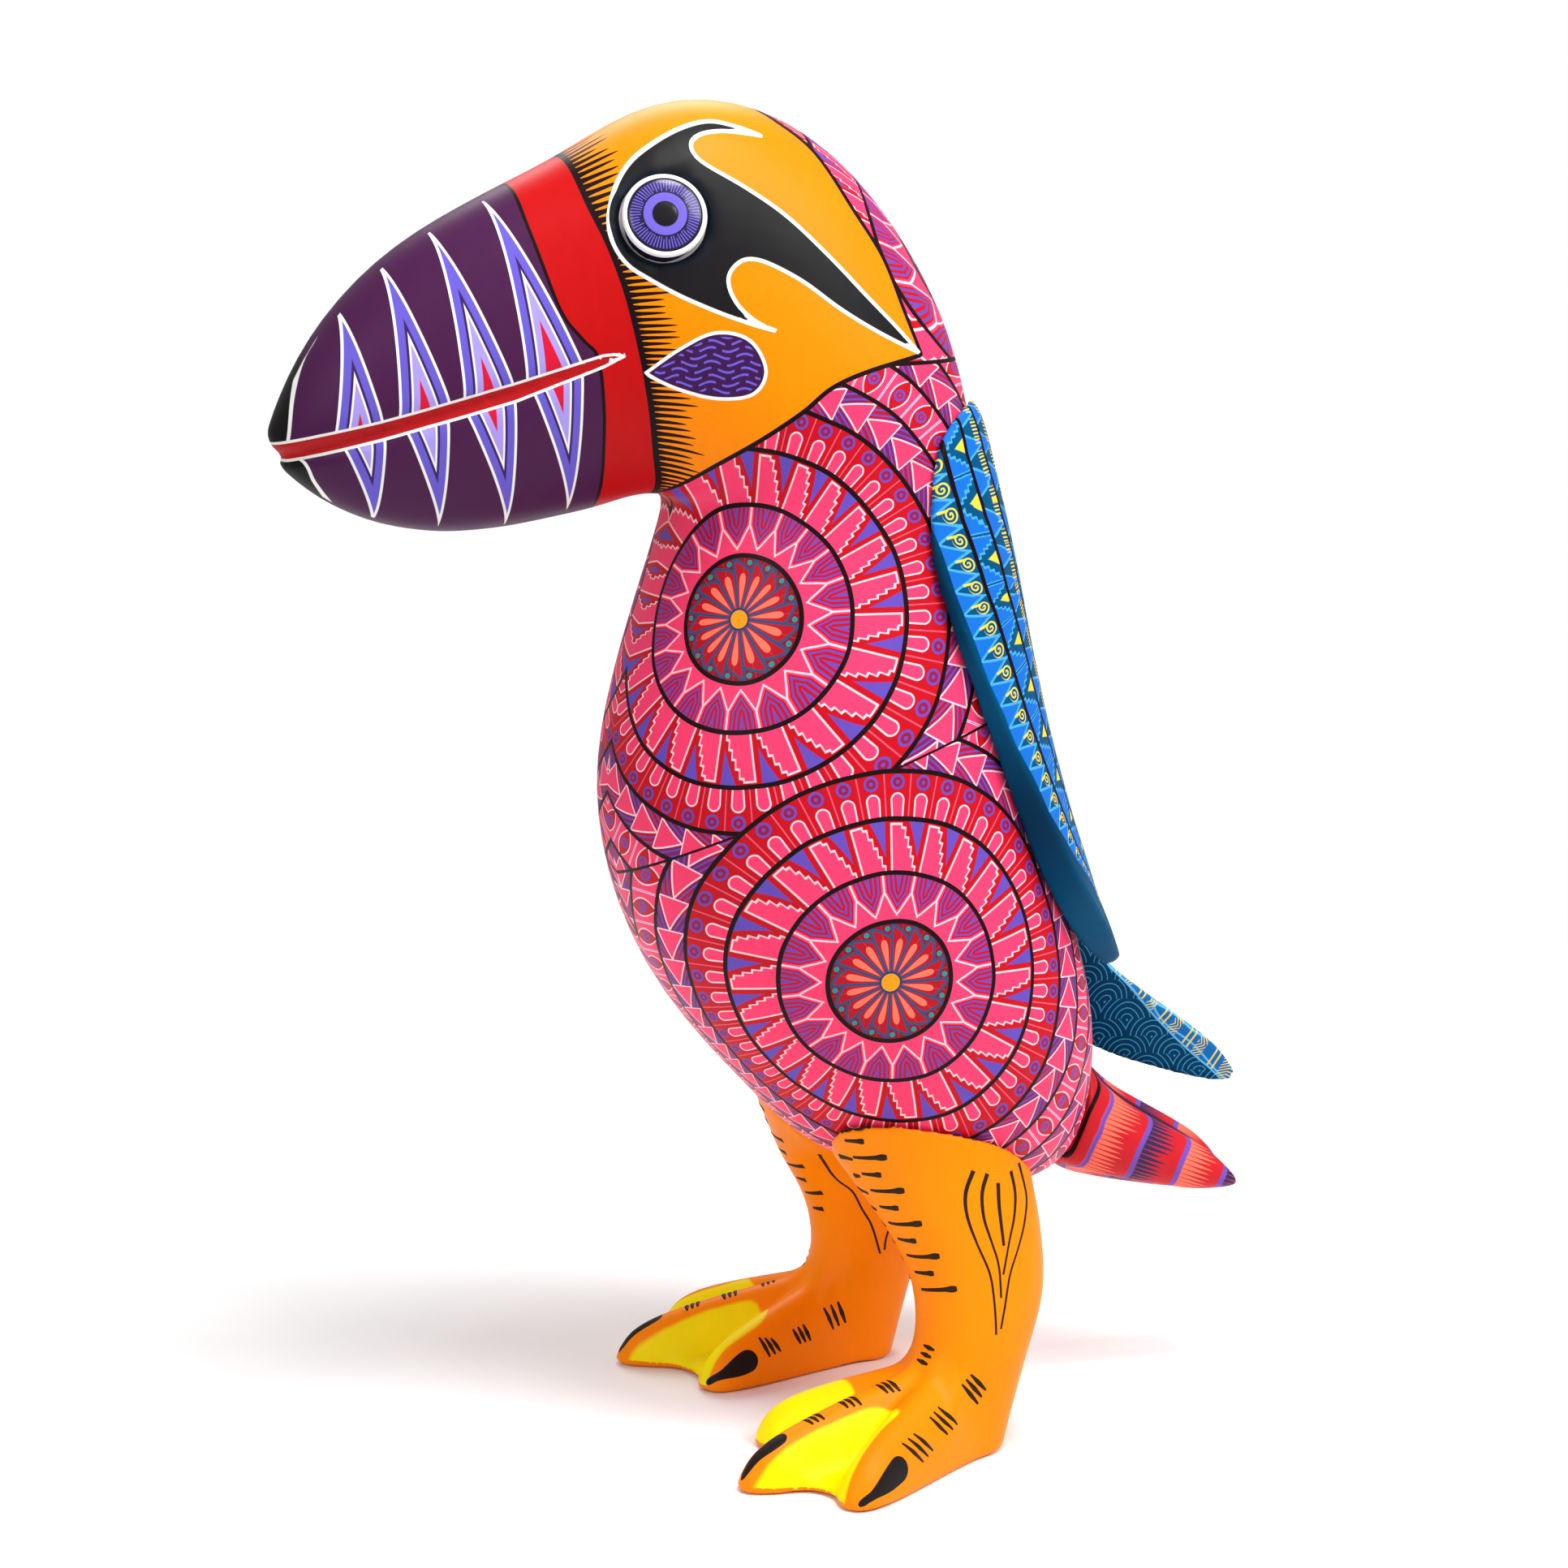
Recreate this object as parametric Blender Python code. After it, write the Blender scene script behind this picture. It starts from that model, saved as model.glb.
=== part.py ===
"""Carved and painted wooden bird, built as the separate pieces a carver would glue together.

The bird looks along -Y, stands on Z = 0, and +X is its own left side.  All tables are in
millimetres and are turned into metres when the meshes are made.
"""
import math

import bmesh
import bpy
from mathutils import Vector
from mathutils.bvhtree import BVHTree

MM = 0.001
BOX_MIDDLE_Y = 2.9        # the tables run from a point this far ahead of the box's middle
GLUE_GAP = 0.4            # clear space left at every glued seat
PEG_PLAY = 0.3            # radial play of a dowel in its hole
PEG_SIDES = 16

for old in list(bpy.data.objects):
    bpy.data.objects.remove(old)


def material(name, colour, roughness, metallic=0.0):
    mat = bpy.data.materials.new(name)
    mat.use_nodes = True
    shader = mat.node_tree.nodes["Principled BSDF"]
    shader.inputs["Base Color"].default_value = (*colour, 1.0)
    shader.inputs["Roughness"].default_value = roughness
    shader.inputs["Metallic"].default_value = metallic
    return mat


def add_mesh(name, points, faces, mat):
    """Millimetre points and faces become one smooth-shaded object."""
    mesh = bpy.data.meshes.new(name)
    shift = Vector((0, -BOX_MIDDLE_Y, 0))
    mesh.from_pydata([(Vector(p) + shift) * MM for p in points], [], faces)
    mesh.materials.append(mat)
    work = bmesh.new()
    work.from_mesh(mesh)
    bmesh.ops.recalc_face_normals(work, faces=work.faces)
    work.to_mesh(mesh)
    work.free()
    mesh.polygons.foreach_set("use_smooth", [True] * len(mesh.polygons))
    obj = bpy.data.objects.new(name, mesh)
    bpy.context.scene.collection.objects.link(obj)
    return obj


def spread(table, count):
    """Catmull-Rom in-between rows so that a short table gives a smooth run of stations."""
    rows = []
    last = len(table) - 1
    for step in range(count):
        place = step * last / (count - 1)
        k = min(int(place), last - 1)
        t = place - k
        before = table[max(k - 1, 0)]
        after = table[min(k + 2, last)]
        row = []
        for a, b, c, d in zip(before, table[k], table[k + 1], after):
            row.append(0.5 * (2 * b + (c - a) * t + (2 * a - 5 * b + 4 * c - d) * t * t
                              + (3 * b - 3 * c + d - a) * t ** 3))
        rows.append(row)
    return rows


# ---------------------------------------------------------------- body, neck, head and beak
# One block.  Each row cuts it across: front point (y, z), back point (y, z), half width.
BODY_ROWS = [
    (28, 55.5, 46, 52.5, 10), (15, 60.0, 58, 52.6, 20), (5, 64.8, 66, 56.0, 28), (-2.4, 71.5, 70.8, 64.5, 35.5),
    (-8.6, 78.5, 72.5, 75.0, 40.5), (-16.6, 87.0, 73, 87.0, 44), (-27, 100.0, 71.5, 99.0, 46.5),
    (-34.8, 114.0, 68.5, 111.0, 47.8), (-39.6, 128.0, 64.5, 123.5, 48), (-42, 141.5, 60, 136.5, 47.6),
    (-42, 154.0, 56.5, 149.5, 46.5), (-39.8, 166.5, 53.5, 162.0, 45), (-36.2, 180.0, 50.5, 176.5, 42.5),
    (-31.7, 194.0, 47.8, 192.0, 39.5), (-28.4, 204.0, 45.2, 206.0, 37), (-26.8, 209.5, 43.0, 218.0, 35.5),
    (-26.5, 212.5, 41.4, 229.5, 34.8), (-27.8, 213.9, 39.1, 240.5, 34.6), (-29.6, 214.5, 36.0, 250.2, 34.4),
    (-31.6, 214.7, 31.7, 259.8, 34), (-33.7, 214.7, 26.0, 269.5, 33.3), (-35.8, 214.5, 18.9, 279.2, 32.4),
    (-38, 214.0, 9.8, 288.6, 31.2), (-40.4, 213.3, -1.2, 295.8, 30), (-43, 212.5, -12.6, 299.6, 28.8),
    (-46, 211.7, -23.8, 300.0, 27.8), (-49.6, 210.9, -34.0, 297.5, 26.8), (-54, 210.1, -43.6, 292.3, 25.8),
    (-59.2, 209.2, -52.6, 287.0, 24.8), (-65, 208.3, -62.0, 282.6, 23.7), (-71.4, 207.8, -72.2, 277.6, 22.4),
    (-78.2, 207.6, -82.2, 272.2, 20.9), (-85, 208.4, -91.4, 265.8, 19), (-91.8, 209.8, -99.4, 258.2, 16.6),
    (-98.6, 212.3, -106.0, 250.0, 13.8), (-104.8, 215.7, -110.8, 241.8, 10.6), (-109.6, 219.4, -114.2, 234.2, 7),
    (-112.6, 222.2, -116.0, 229.4, 4),
]
TIP_ROW = len(BODY_ROWS) - 1
MOUTH_ROW = 23                    # first row that the mouth cut may reach
MOUTH_BACK = (-45.0, 246.3)       # where the cut ends on the cheek (y, z)
MOUTH_FRONT = (-114.0, 225.0)     # where the cut meets the tip
MOUTH_HALF_GAP = 1.4
MOUTH_DEPTH = 3.0
UPPER_STEPS = 8
LOWER_STEPS = 8


def mouth_share(row):
    """How far along the row's chord (1 top, -1 bottom) the mouth line crosses it."""
    ax, az = MOUTH_BACK
    bx, bz = MOUTH_FRONT
    d_front = (bx - ax) * (row[1] - az) - (bz - az) * (row[0] - ax)
    d_back = (bx - ax) * (row[3] - az) - (bz - az) * (row[2] - ax)
    return (d_front + d_back) / (d_front - d_back)


def body_row(index):
    fy, fz, by, bz, half = BODY_ROWS[index]
    centre = ((fy + by) / 2, (fz + bz) / 2)
    reach = ((by - fy) / 2, (bz - fz) / 2)
    length = math.hypot(*reach)
    lead = min(max((index - 8) / (MOUTH_ROW - 8), 0.0), 1.0)
    share = mouth_share(BODY_ROWS[max(index, MOUTH_ROW)]) * lead * lead * (3 - 2 * lead)
    middle = math.acos(share)
    line_y = centre[0] + reach[0] * share
    open_part = min(max((MOUTH_BACK[0] - line_y) / 22.0, 0.0), 1.0)
    tight = min(max((MOUTH_BACK[0] + 8 - line_y) / 8.0, 0.0), 1.0)
    near = MOUTH_HALF_GAP * max(open_part, 0.12) / length
    gap = 0.22 * (1 - tight) + near * tight
    angles = [middle - gap - (middle - gap) * (1 - k / UPPER_STEPS) for k in range(UPPER_STEPS + 1)]
    angles += [middle - gap * 0.35, middle + gap * 0.35]
    low = middle + gap
    angles += [low + (math.pi - low) * k / LOWER_STEPS for k in range(LOWER_STEPS + 1)]
    points = []
    for t in angles:
        side = half * max(math.sin(t), 0.0) ** 0.92
        points.append([side, centre[0] + reach[0] * math.cos(t), centre[1] + reach[1] * math.cos(t)])
    return points, open_part


def body_mesh():
    rows = []
    opens = []
    for index in range(TIP_ROW + 1):
        points, open_part = body_row(index)
        rows.append(points)
        opens.append(open_part)
    up = UPPER_STEPS + 1
    lips = [Vector(row[up - 1]) * 0.5 + Vector(row[up + 2]) * 0.5 for row in rows]
    for index, row in enumerate(rows):
        if opens[index] <= 0:
            continue
        before = lips[index - 1]
        after = lips[index + 1] if index < TIP_ROW else Vector((-lips[index].x, lips[index].y, lips[index].z))
        inward = Vector((-(after.y - before.y), after.x - before.x, 0)).normalized()
        if inward.x > 0:
            inward.negate()
        for k in (up, up + 1):
            moved = Vector(row[k]) + inward * MOUTH_DEPTH * opens[index]
            row[k] = [max(moved.x, 0.4), moved.y, moved.z]
    verts = []
    ring_size = 2 * len(rows[0]) - 2
    for row in rows:
        verts += row
        verts += [[-p[0], p[1], p[2]] for p in reversed(row[1:-1])]
    faces = []
    for index in range(TIP_ROW):
        a = index * ring_size
        b = a + ring_size
        for k in range(ring_size):
            n = (k + 1) % ring_size
            faces.append((a + k, a + n, b + n, b + k))
    for base in (0, TIP_ROW * ring_size):
        for k in range(ring_size // 2):
            left = (base + k, base + k + 1)
            right = (base + (ring_size - k - 1) % ring_size, base + (ring_size - k) % ring_size)
            faces.append(tuple(dict.fromkeys(left + right)))
    return verts, faces


painted_pink = material("paint_pink_body", (0.80, 0.09, 0.20), 0.45)
block_points, block_faces = body_mesh()
body = add_mesh("body_block", block_points, block_faces, painted_pink)

surface = BVHTree.FromPolygons([v.co / MM + Vector((0, BOX_MIDDLE_Y, 0)) for v in body.data.vertices],
                               [tuple(p.vertices) for p in body.data.polygons])


def seated(point):
    """Keep a point of a glued-on piece just clear of the body."""
    place, normal, face, distance = surface.find_nearest(Vector(point))
    if (Vector(point) - place).dot(normal) < GLUE_GAP:
        return place + normal * GLUE_GAP
    return Vector(point)


# ---------------------------------------------------------------- wings
# Rows from the shoulder down: front edge (x, y, z), rear edge (x, y, z), thickness at the
# front edge, in the middle and at the rear edge.  X is given for the left wing.
LEFT_WING_ROWS = [
    (17.5, 35.5, 234.0, 14.0, 38.0, 234.2, 0.8, 0.9, 0.8), (24.0, 29.5, 231.6, 8.5, 41.0, 232.0, 1.0, 2.0, 1.0),
    (30.0, 23.0, 225.5, 4.6, 42.8, 225.5, 1.4, 3.4, 1.2), (34.0, 20.3, 210.0, 3.2, 46.0, 210.0, 1.8, 4.8, 1.4),
    (36.0, 21.0, 198.0, 3.0, 48.0, 196.0, 2.4, 5.4, 1.5), (37.4, 26.2, 182.0, 3.0, 51.0, 180.0, 3.8, 5.6, 1.6),
    (37.4, 33.2, 164.0, 3.0, 54.5, 164.0, 5.4, 5.8, 1.8), (36.4, 40.6, 146.0, 3.4, 59.0, 148.0, 7.0, 6.2, 2.0),
    (34.6, 47.0, 132.0, 5.0, 64.0, 133.0, 8.2, 6.6, 2.2), (31.6, 53.6, 121.0, 8.5, 69.0, 120.0, 8.6, 6.6, 2.2),
    (27.5, 62.0, 111.5, 12.5, 72.0, 110.5, 7.4, 5.6, 2.0), (22.5, 70.0, 105.5, 17.5, 73.5, 104.5, 4.0, 3.4, 1.6),
]
RIGHT_WING_ROWS = [
    (17.5, 35.5, 234.0, 14.0, 38.0, 234.2, 0.8, 0.9, 0.8), (24.0, 29.5, 231.6, 8.5, 41.0, 232.0, 1.0, 2.0, 1.0),
    (30.0, 23.0, 225.5, 4.6, 42.8, 225.5, 1.4, 3.4, 1.2), (34.0, 20.3, 210.0, 3.2, 46.0, 210.0, 1.8, 4.8, 1.4),
    (36.0, 21.0, 198.0, 3.0, 48.0, 196.0, 2.4, 5.4, 1.5), (37.4, 26.2, 182.0, 3.0, 51.0, 180.0, 3.8, 5.6, 1.6),
    (37.4, 33.2, 164.0, 3.0, 54.5, 164.0, 5.0, 5.8, 1.8), (37.0, 40.0, 146.0, 3.4, 59.0, 149.0, 5.0, 6.4, 2.0),
    (35.5, 48.0, 126.0, 5.0, 65.0, 134.0, 5.0, 6.8, 2.4), (32.0, 58.0, 106.0, 8.0, 71.5, 118.0, 4.8, 7.0, 2.6),
    (26.5, 69.5, 89.5, 12.0, 79.0, 105.0, 4.4, 7.0, 2.8), (19.5, 84.0, 76.0, 13.5, 88.5, 95.5, 4.0, 6.6, 3.0),
    (15.5, 101.0, 69.5, 13.5, 102.0, 85.5, 3.6, 6.0, 3.0), (13.5, 113.0, 66.0, 12.5, 114.5, 76.0, 3.2, 5.0, 2.8),
    (12.5, 120.5, 64.6, 12.0, 121.5, 69.5, 2.4, 3.6, 2.2),
]
WING_STEPS = 12


def wing_axis(z):
    """Middle of the body at this height, used to tell which way is outwards."""
    share = min(max((z - 100.0) / 120.0, 0.0), 1.0)
    return 19.0 - 12.0 * share


def wing_mesh(rows, stations, side):
    inner = []
    outer = []
    for row in spread(rows, stations):
        front = Vector((row[0] * side, row[1], row[2]))
        rear = Vector((row[3] * side, row[4], row[5]))
        for k in range(WING_STEPS + 1):
            v = k / WING_STEPS
            inner.append(seated(front.lerp(rear, v)))
    for r, row in enumerate(spread(rows, stations)):
        for k in range(WING_STEPS + 1):
            v = k / WING_STEPS
            at = r * (WING_STEPS + 1) + k
            here = inner[at]
            across = inner[at + (k < WING_STEPS)] - inner[at - (k > 0)]
            down = inner[min(r + 1, stations - 1) * (WING_STEPS + 1) + k] - inner[
                max(r - 1, 0) * (WING_STEPS + 1) + k]
            out = across.cross(down).normalized()
            away = here - Vector((0, wing_axis(here.z), here.z))
            if out.dot(away) < 0:
                out.negate()
            if v < 0.5:
                share = math.sin(math.pi * v)
                thick = row[6] + (row[7] - row[6]) * share
            else:
                share = math.sin(math.pi * v) ** 0.8
                thick = row[8] + (row[7] - row[8]) * share
            outer.append(here + out * thick)
    verts = []
    for r in range(stations):
        line = slice(r * (WING_STEPS + 1), (r + 1) * (WING_STEPS + 1))
        verts += outer[line]
        verts += inner[line][::-1]
    size = 2 * (WING_STEPS + 1)
    faces = []
    for r in range(stations - 1):
        for k in range(size):
            n = (k + 1) % size
            faces.append((r * size + k, r * size + n, (r + 1) * size + n, (r + 1) * size + k))
    for base in (0, (stations - 1) * size):
        for k in range(WING_STEPS):
            faces.append((base + k, base + k + 1, base + size - 2 - k, base + size - 1 - k))
    return verts, faces


painted_blue = material("paint_blue_wing", (0.03, 0.20, 0.55), 0.4)
left_points, left_faces = wing_mesh(LEFT_WING_ROWS, 24, 1)
left_wing = add_mesh("left_wing", left_points, left_faces, painted_blue)
right_points, right_faces = wing_mesh(RIGHT_WING_ROWS, 28, -1)
right_wing = add_mesh("right_wing", right_points, right_faces, painted_blue)

# ---------------------------------------------------------------- tail
# Rows from the rump backwards: top (y, z), bottom (y, z), half width.
TAIL_ROWS = [
    (73.0, 80.5, 63.5, 56.5, 13.8), (77.0, 76.0, 69.0, 51.8, 14.4), (82.0, 71.6, 75.0, 49.6, 14.2),
    (88.0, 67.8, 82.0, 47.6, 14.0), (95.5, 63.4, 90.5, 45.6, 13.6), (102.5, 59.0, 98.5, 44.0, 13.2),
    (107.5, 54.8, 104.8, 43.8, 12.6), (111.0, 50.8, 109.8, 44.2, 11.6), (112.8, 48.2, 112.4, 45.0, 10.4),
]
TAIL_AIM = (0.0, 0.905, -0.425)
TAIL_SIDES = 36
TAIL_NOTCH = 7.0
TAIL_GROOVE = 0.30


def root_point(point):
    """Point of the tail's glued end face, found by sliding along the tail onto the rump."""
    aim = Vector(TAIL_AIM)
    place, normal, face, distance = surface.ray_cast(Vector(point) + aim * 60, -aim)
    if place is None:
        return seated(point)
    return seated(place + aim * GLUE_GAP)


def tail_mesh():
    verts = []
    stations = 17
    for r, row in enumerate(spread(TAIL_ROWS, stations)):
        run = r / (stations - 1)
        ty, tz, by, bz, half = row
        cy = (ty + by) / 2
        cz = (tz + bz) / 2
        for k in range(TAIL_SIDES):
            t = 2 * math.pi * k / TAIL_SIDES
            x = half * math.sin(t)
            dip = math.exp(-((abs(x) - half * 0.36) / 2.2) ** 2)
            pinch = 1 - TAIL_GROOVE * dip * min(run * 1.8, 1.0)
            step = math.cos(t) * pinch
            y = cy + (ty - by) / 2 * step - TAIL_NOTCH * dip * run ** 5 - abs(x) * 0.12 * run
            point = Vector((x, y, cz + (tz - bz) / 2 * step))
            verts.append(root_point(point) if r == 0 else seated(point))
    faces = []
    for r in range(stations - 1):
        for k in range(TAIL_SIDES):
            n = (k + 1) % TAIL_SIDES
            faces.append((r * TAIL_SIDES + k, r * TAIL_SIDES + n, (r + 1) * TAIL_SIDES + n,
                          (r + 1) * TAIL_SIDES + k))
    end = (stations - 1) * TAIL_SIDES
    for k in range(TAIL_SIDES // 2):
        a = end + k
        b = end + k + 1
        c = end + (TAIL_SIDES - k - 1) % TAIL_SIDES
        d = end + (TAIL_SIDES - k) % TAIL_SIDES
        faces.append(tuple(dict.fromkeys((a, b, c, d))))
    rings = 5
    last = list(range(TAIL_SIDES))
    middle = Vector((0, sum(v.y for v in verts[:TAIL_SIDES]) / TAIL_SIDES,
                     sum(v.z for v in verts[:TAIL_SIDES]) / TAIL_SIDES))
    for ring in range(1, rings):
        share = ring / rings
        new = []
        for k in range(TAIL_SIDES):
            verts.append(root_point(verts[k].lerp(middle, share)))
            new.append(len(verts) - 1)
        for k in range(TAIL_SIDES):
            n = (k + 1) % TAIL_SIDES
            faces.append((last[k], last[n], new[n], new[k]))
        last = new
    verts.append(root_point(middle))
    for k in range(TAIL_SIDES):
        faces.append((last[k], last[(k + 1) % TAIL_SIDES], len(verts) - 1))
    return verts, faces


painted_red = material("paint_red_tail", (0.55, 0.02, 0.03), 0.45)
tail_points, tail_faces = tail_mesh()
tail = add_mesh("tail", tail_points, tail_faces, painted_red)

# ---------------------------------------------------------------- legs with webbed feet
SEAT = (23.5, 26.5, 16.3, 24.2)               # centre x, y and half sizes of the glued seat
SEAT_DROP = 1.0
RIGHT_THIGH = 3.0                             # the right thigh is carved this much fuller in front
LEG_ROWS = [                                  # height, centre x, centre y, half x, half y
    (52.0, 29.5, 31.8, 13.2, 18.4), (46.0, 30.8, 33.6, 12.5, 17.0), (40.0, 32.0, 34.8, 12.0, 15.8),
    (34.0, 33.0, 35.0, 11.6, 15.0), (28.0, 33.6, 34.0, 11.4, 14.0), (22.5, 34.0, 32.5, 11.4, 13.5),
]
ANKLE_HEIGHT = LEG_ROWS[-1][0]
TOE_ROOT = (34.5, 28.5)
TOES = [(65.0, -9.0), (45.4, -27.8), (17.8, -14.4)]
TOE_HALF_ROOT = 10.8
TOE_HALF_TIP = 5.6
RIDGE = [(0.0, 22.0), (0.3, 18.8), (0.6, 15.0), (0.8, 11.8), (0.92, 8.2), (1.0, 3.0)]
WEB_DIP = 5.0
FOOT_RINGS = [0.08, 0.17, 0.27, 0.38, 0.49, 0.6, 0.7, 0.79, 0.87, 0.94, 1.0]
FRONT_STEPS = 38
BACK_STEPS = 14


def on_toe(x, y, tip):
    """Share along a toe, sideways distance from its middle line, half width there."""
    ax, ay = TOE_ROOT
    length = math.hypot(tip[0] - ax, tip[1] - ay)
    ux = (tip[0] - ax) / length
    uy = (tip[1] - ay) / length
    along = (x - ax) * ux + (y - ay) * uy
    aside = abs((x - ax) * uy - (y - ay) * ux)
    share = min(max(along / length, 0.0), 1.0)
    half = TOE_HALF_ROOT + (TOE_HALF_TIP - TOE_HALF_ROOT) * share ** 0.6
    over = along - (length - TOE_HALF_TIP)
    if over > 0:
        half = math.sqrt(max(TOE_HALF_TIP ** 2 - over * over, 0.0)) if over < TOE_HALF_TIP else 0.0
    if along < 0:
        aside = math.hypot(along, aside)
    return share, aside, half


def ridge_height(share):
    for (a, ha), (b, hb) in zip(RIDGE, RIDGE[1:]):
        if share <= b:
            return ha + (hb - ha) * (share - a) / (b - a)
    return RIDGE[-1][1]


def web_reach(x, y):
    """Share of the way from the ankle to the scalloped web edge, or None outside the fan."""
    ax, ay = TOE_ROOT
    for first, second in zip(TOES, TOES[1:]):
        cross_a = (first[0] - ax) * (y - ay) - (first[1] - ay) * (x - ax)
        cross_b = (second[0] - ax) * (y - ay) - (second[1] - ay) * (x - ax)
        if cross_a <= 0 <= cross_b:
            nx = -(second[1] - first[1])
            ny = second[0] - first[0]
            size = math.hypot(nx, ny)
            full = ((first[0] - ax) * nx + (first[1] - ay) * ny) / size
            here = ((x - ax) * nx + (y - ay) * ny) / size
            part = cross_a / (cross_a - cross_b)
            edge = full - math.copysign(1.5 + WEB_DIP * math.sin(math.pi * part), full)
            return here / edge
    return None


def in_foot(x, y):
    reach = web_reach(x, y)
    if reach is not None and reach <= 1:
        return True
    for tip in TOES:
        share, aside, half = on_toe(x, y, tip)
        if aside < half:
            return True
    return False


def foot_height(x, y):
    best = 2.0
    reach = web_reach(x, y)
    if reach is not None:
        best = 2.6 + 9.0 * max(1 - reach, 0.0) ** 1.3
    for tip in TOES:
        share, aside, half = on_toe(x, y, tip)
        if aside < half:
            best = max(best, 1.6 + (ridge_height(share) - 1.6) * (1 - (aside / half) ** 2) ** 0.55)
    return best


def leg_angles():
    """Close together round the front, where the toes are, and wide apart behind the heel."""
    front = math.radians(62)
    angles = [-front + 2 * front * k / FRONT_STEPS for k in range(FRONT_STEPS + 1)]
    rest = 2 * math.pi - 2 * front
    angles += [front + rest * (k + 1) / (BACK_STEPS + 1) for k in range(BACK_STEPS)]
    return angles


def leg_ring(cx, cy, rx, ry, z, angles):
    return [Vector((cx + rx * math.sin(a), cy - ry * math.cos(a), z)) for a in angles]


def leg_mesh(side):
    angles = leg_angles()
    count = len(angles)
    fuller = RIGHT_THIGH if side < 0 else 0.0
    sx, sy, srx, sry = SEAT
    sy -= fuller / 2
    sry += fuller / 2
    rings = []
    for share in (0.25, 0.5, 0.75, 1.0):
        ring = []
        for point in leg_ring(sx, sy, srx * share, sry * share, 0, angles):
            place, normal, face, distance = surface.ray_cast(Vector((point.x, point.y, 0)), Vector((0, 0, 1)))
            ring.append(seated((point.x, point.y, place.z - SEAT_DROP)))
        rings.append(ring)
    seat = rings[-1]
    levels = []
    for z, cx, cy, rx, ry in LEG_ROWS:
        extra = fuller * min(max((z - 28.0) / 24.0, 0.0), 1.0)
        levels.append(leg_ring(cx, cy - extra / 2, rx, ry + extra / 2, z, angles))
    target = levels[0]
    for share in (0.12, 0.3, 0.52, 0.76):
        swell = share ** 1.1
        ring = []
        for a, b in zip(seat, target):
            ring.append(Vector((a.x + (b.x - a.x) * swell, a.y + (b.y - a.y) * swell, a.z + (b.z - a.z) * share)))
        rings.append(ring)
    rings += levels
    ankle = rings[-1]
    px = LEG_ROWS[-1][1]
    py = LEG_ROWS[-1][2]
    outline = []
    for a in angles:
        reach = 80.0
        while reach > 4 and not in_foot(px + reach * math.sin(a), py - reach * math.cos(a)):
            reach -= 0.25
        heel = 1 / math.hypot(math.sin(a) / 10.0, math.cos(a) / (7.0 if math.cos(a) < 0 else 12.0))
        outline.append(max(reach, heel))
    for ring_share in FOOT_RINGS:
        ring = []
        for k, a in enumerate(angles):
            far = Vector((px + outline[k] * math.sin(a), py - outline[k] * math.cos(a), 0))
            spot = ankle[k].lerp(far, ring_share)
            start = math.hypot(ankle[k].x - px, ankle[k].y - py)
            toe_part = min(max((outline[k] - start - 1.0) / 9.0, 0.0), 1.0)
            toe_part = toe_part * toe_part * (3 - 2 * toe_part)
            slope = ANKLE_HEIGHT * (1 - ring_share) + 1.0 * ring_share
            cone = ANKLE_HEIGHT - 1.5 * (math.hypot(spot.x - px, spot.y - py) - start)
            top = max(foot_height(spot.x, spot.y), cone)
            edge = min((1 - ring_share) * outline[k] / 2.5, 1.0)
            top = 1.0 + (top - 1.0) * math.sqrt(max(1 - (1 - edge) ** 2, 0.0))
            ring.append(Vector((spot.x, spot.y, top * toe_part + slope * (1 - toe_part))))
        rings.append(ring)
    sole = []
    for k, a in enumerate(angles):
        reach = outline[k] - 0.8
        sole.append(Vector((px + reach * math.sin(a), py - reach * math.cos(a), 0)))
    rings.append(sole)
    verts = [Vector((v.x * side, v.y, v.z)) for ring in rings for v in ring]
    faces = []
    for r in range(len(rings) - 1):
        for k in range(count):
            n = (k + 1) % count
            faces.append((r * count + k, r * count + n, (r + 1) * count + n, (r + 1) * count + k))
    faces.append(tuple(range((len(rings) - 1) * count, len(rings) * count)))
    place, normal, face, distance = surface.ray_cast(Vector((sx, sy, 0)), Vector((0, 0, 1)))
    verts.append(Vector((sx * side, sy, place.z - SEAT_DROP)))
    for k in range(count):
        faces.append((k, (k + 1) % count, len(verts) - 1))
    return verts, faces


painted_orange = material("paint_orange_leg", (0.90, 0.32, 0.01), 0.5)
left_points, left_faces = leg_mesh(1)
left_leg = add_mesh("left_leg", left_points, left_faces, painted_orange)
right_points, right_faces = leg_mesh(-1)
right_leg = add_mesh("right_leg", right_points, right_faces, painted_orange)

# ---------------------------------------------------------------- eyes and dowels
EYE = (24.3, -35.6, 274.6)                    # where the middle of the left eye meets the head
EYE_AIM = (0.93, -0.20, 0.30)
EYE_RADIUS = 8.2
EYE_DEPTH = 2.0                               # face of the disc below the middle of the socket
EYE_THICK = 3.6
EYE_SIDES = 40
SOCKET_RIM = 10.0                             # the socket widens to this at the surface
LEG_PEG = ((25.0, 27.0, 45.0), (25.0, 27.0, 84.0), 5.0)
TAIL_PEG = ((0.0, 52.0, 72.5), (0.0, 88.0, 58.0), 4.0)
WING_PEGS = {
    "upper": ((9.0, 27.0, 198.0), (24.2, 42.8, 198.9), 2.0),
    "lower": ((10.0, 33.0, 160.0), (24.7, 49.0, 160.4), 2.0),
}


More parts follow.
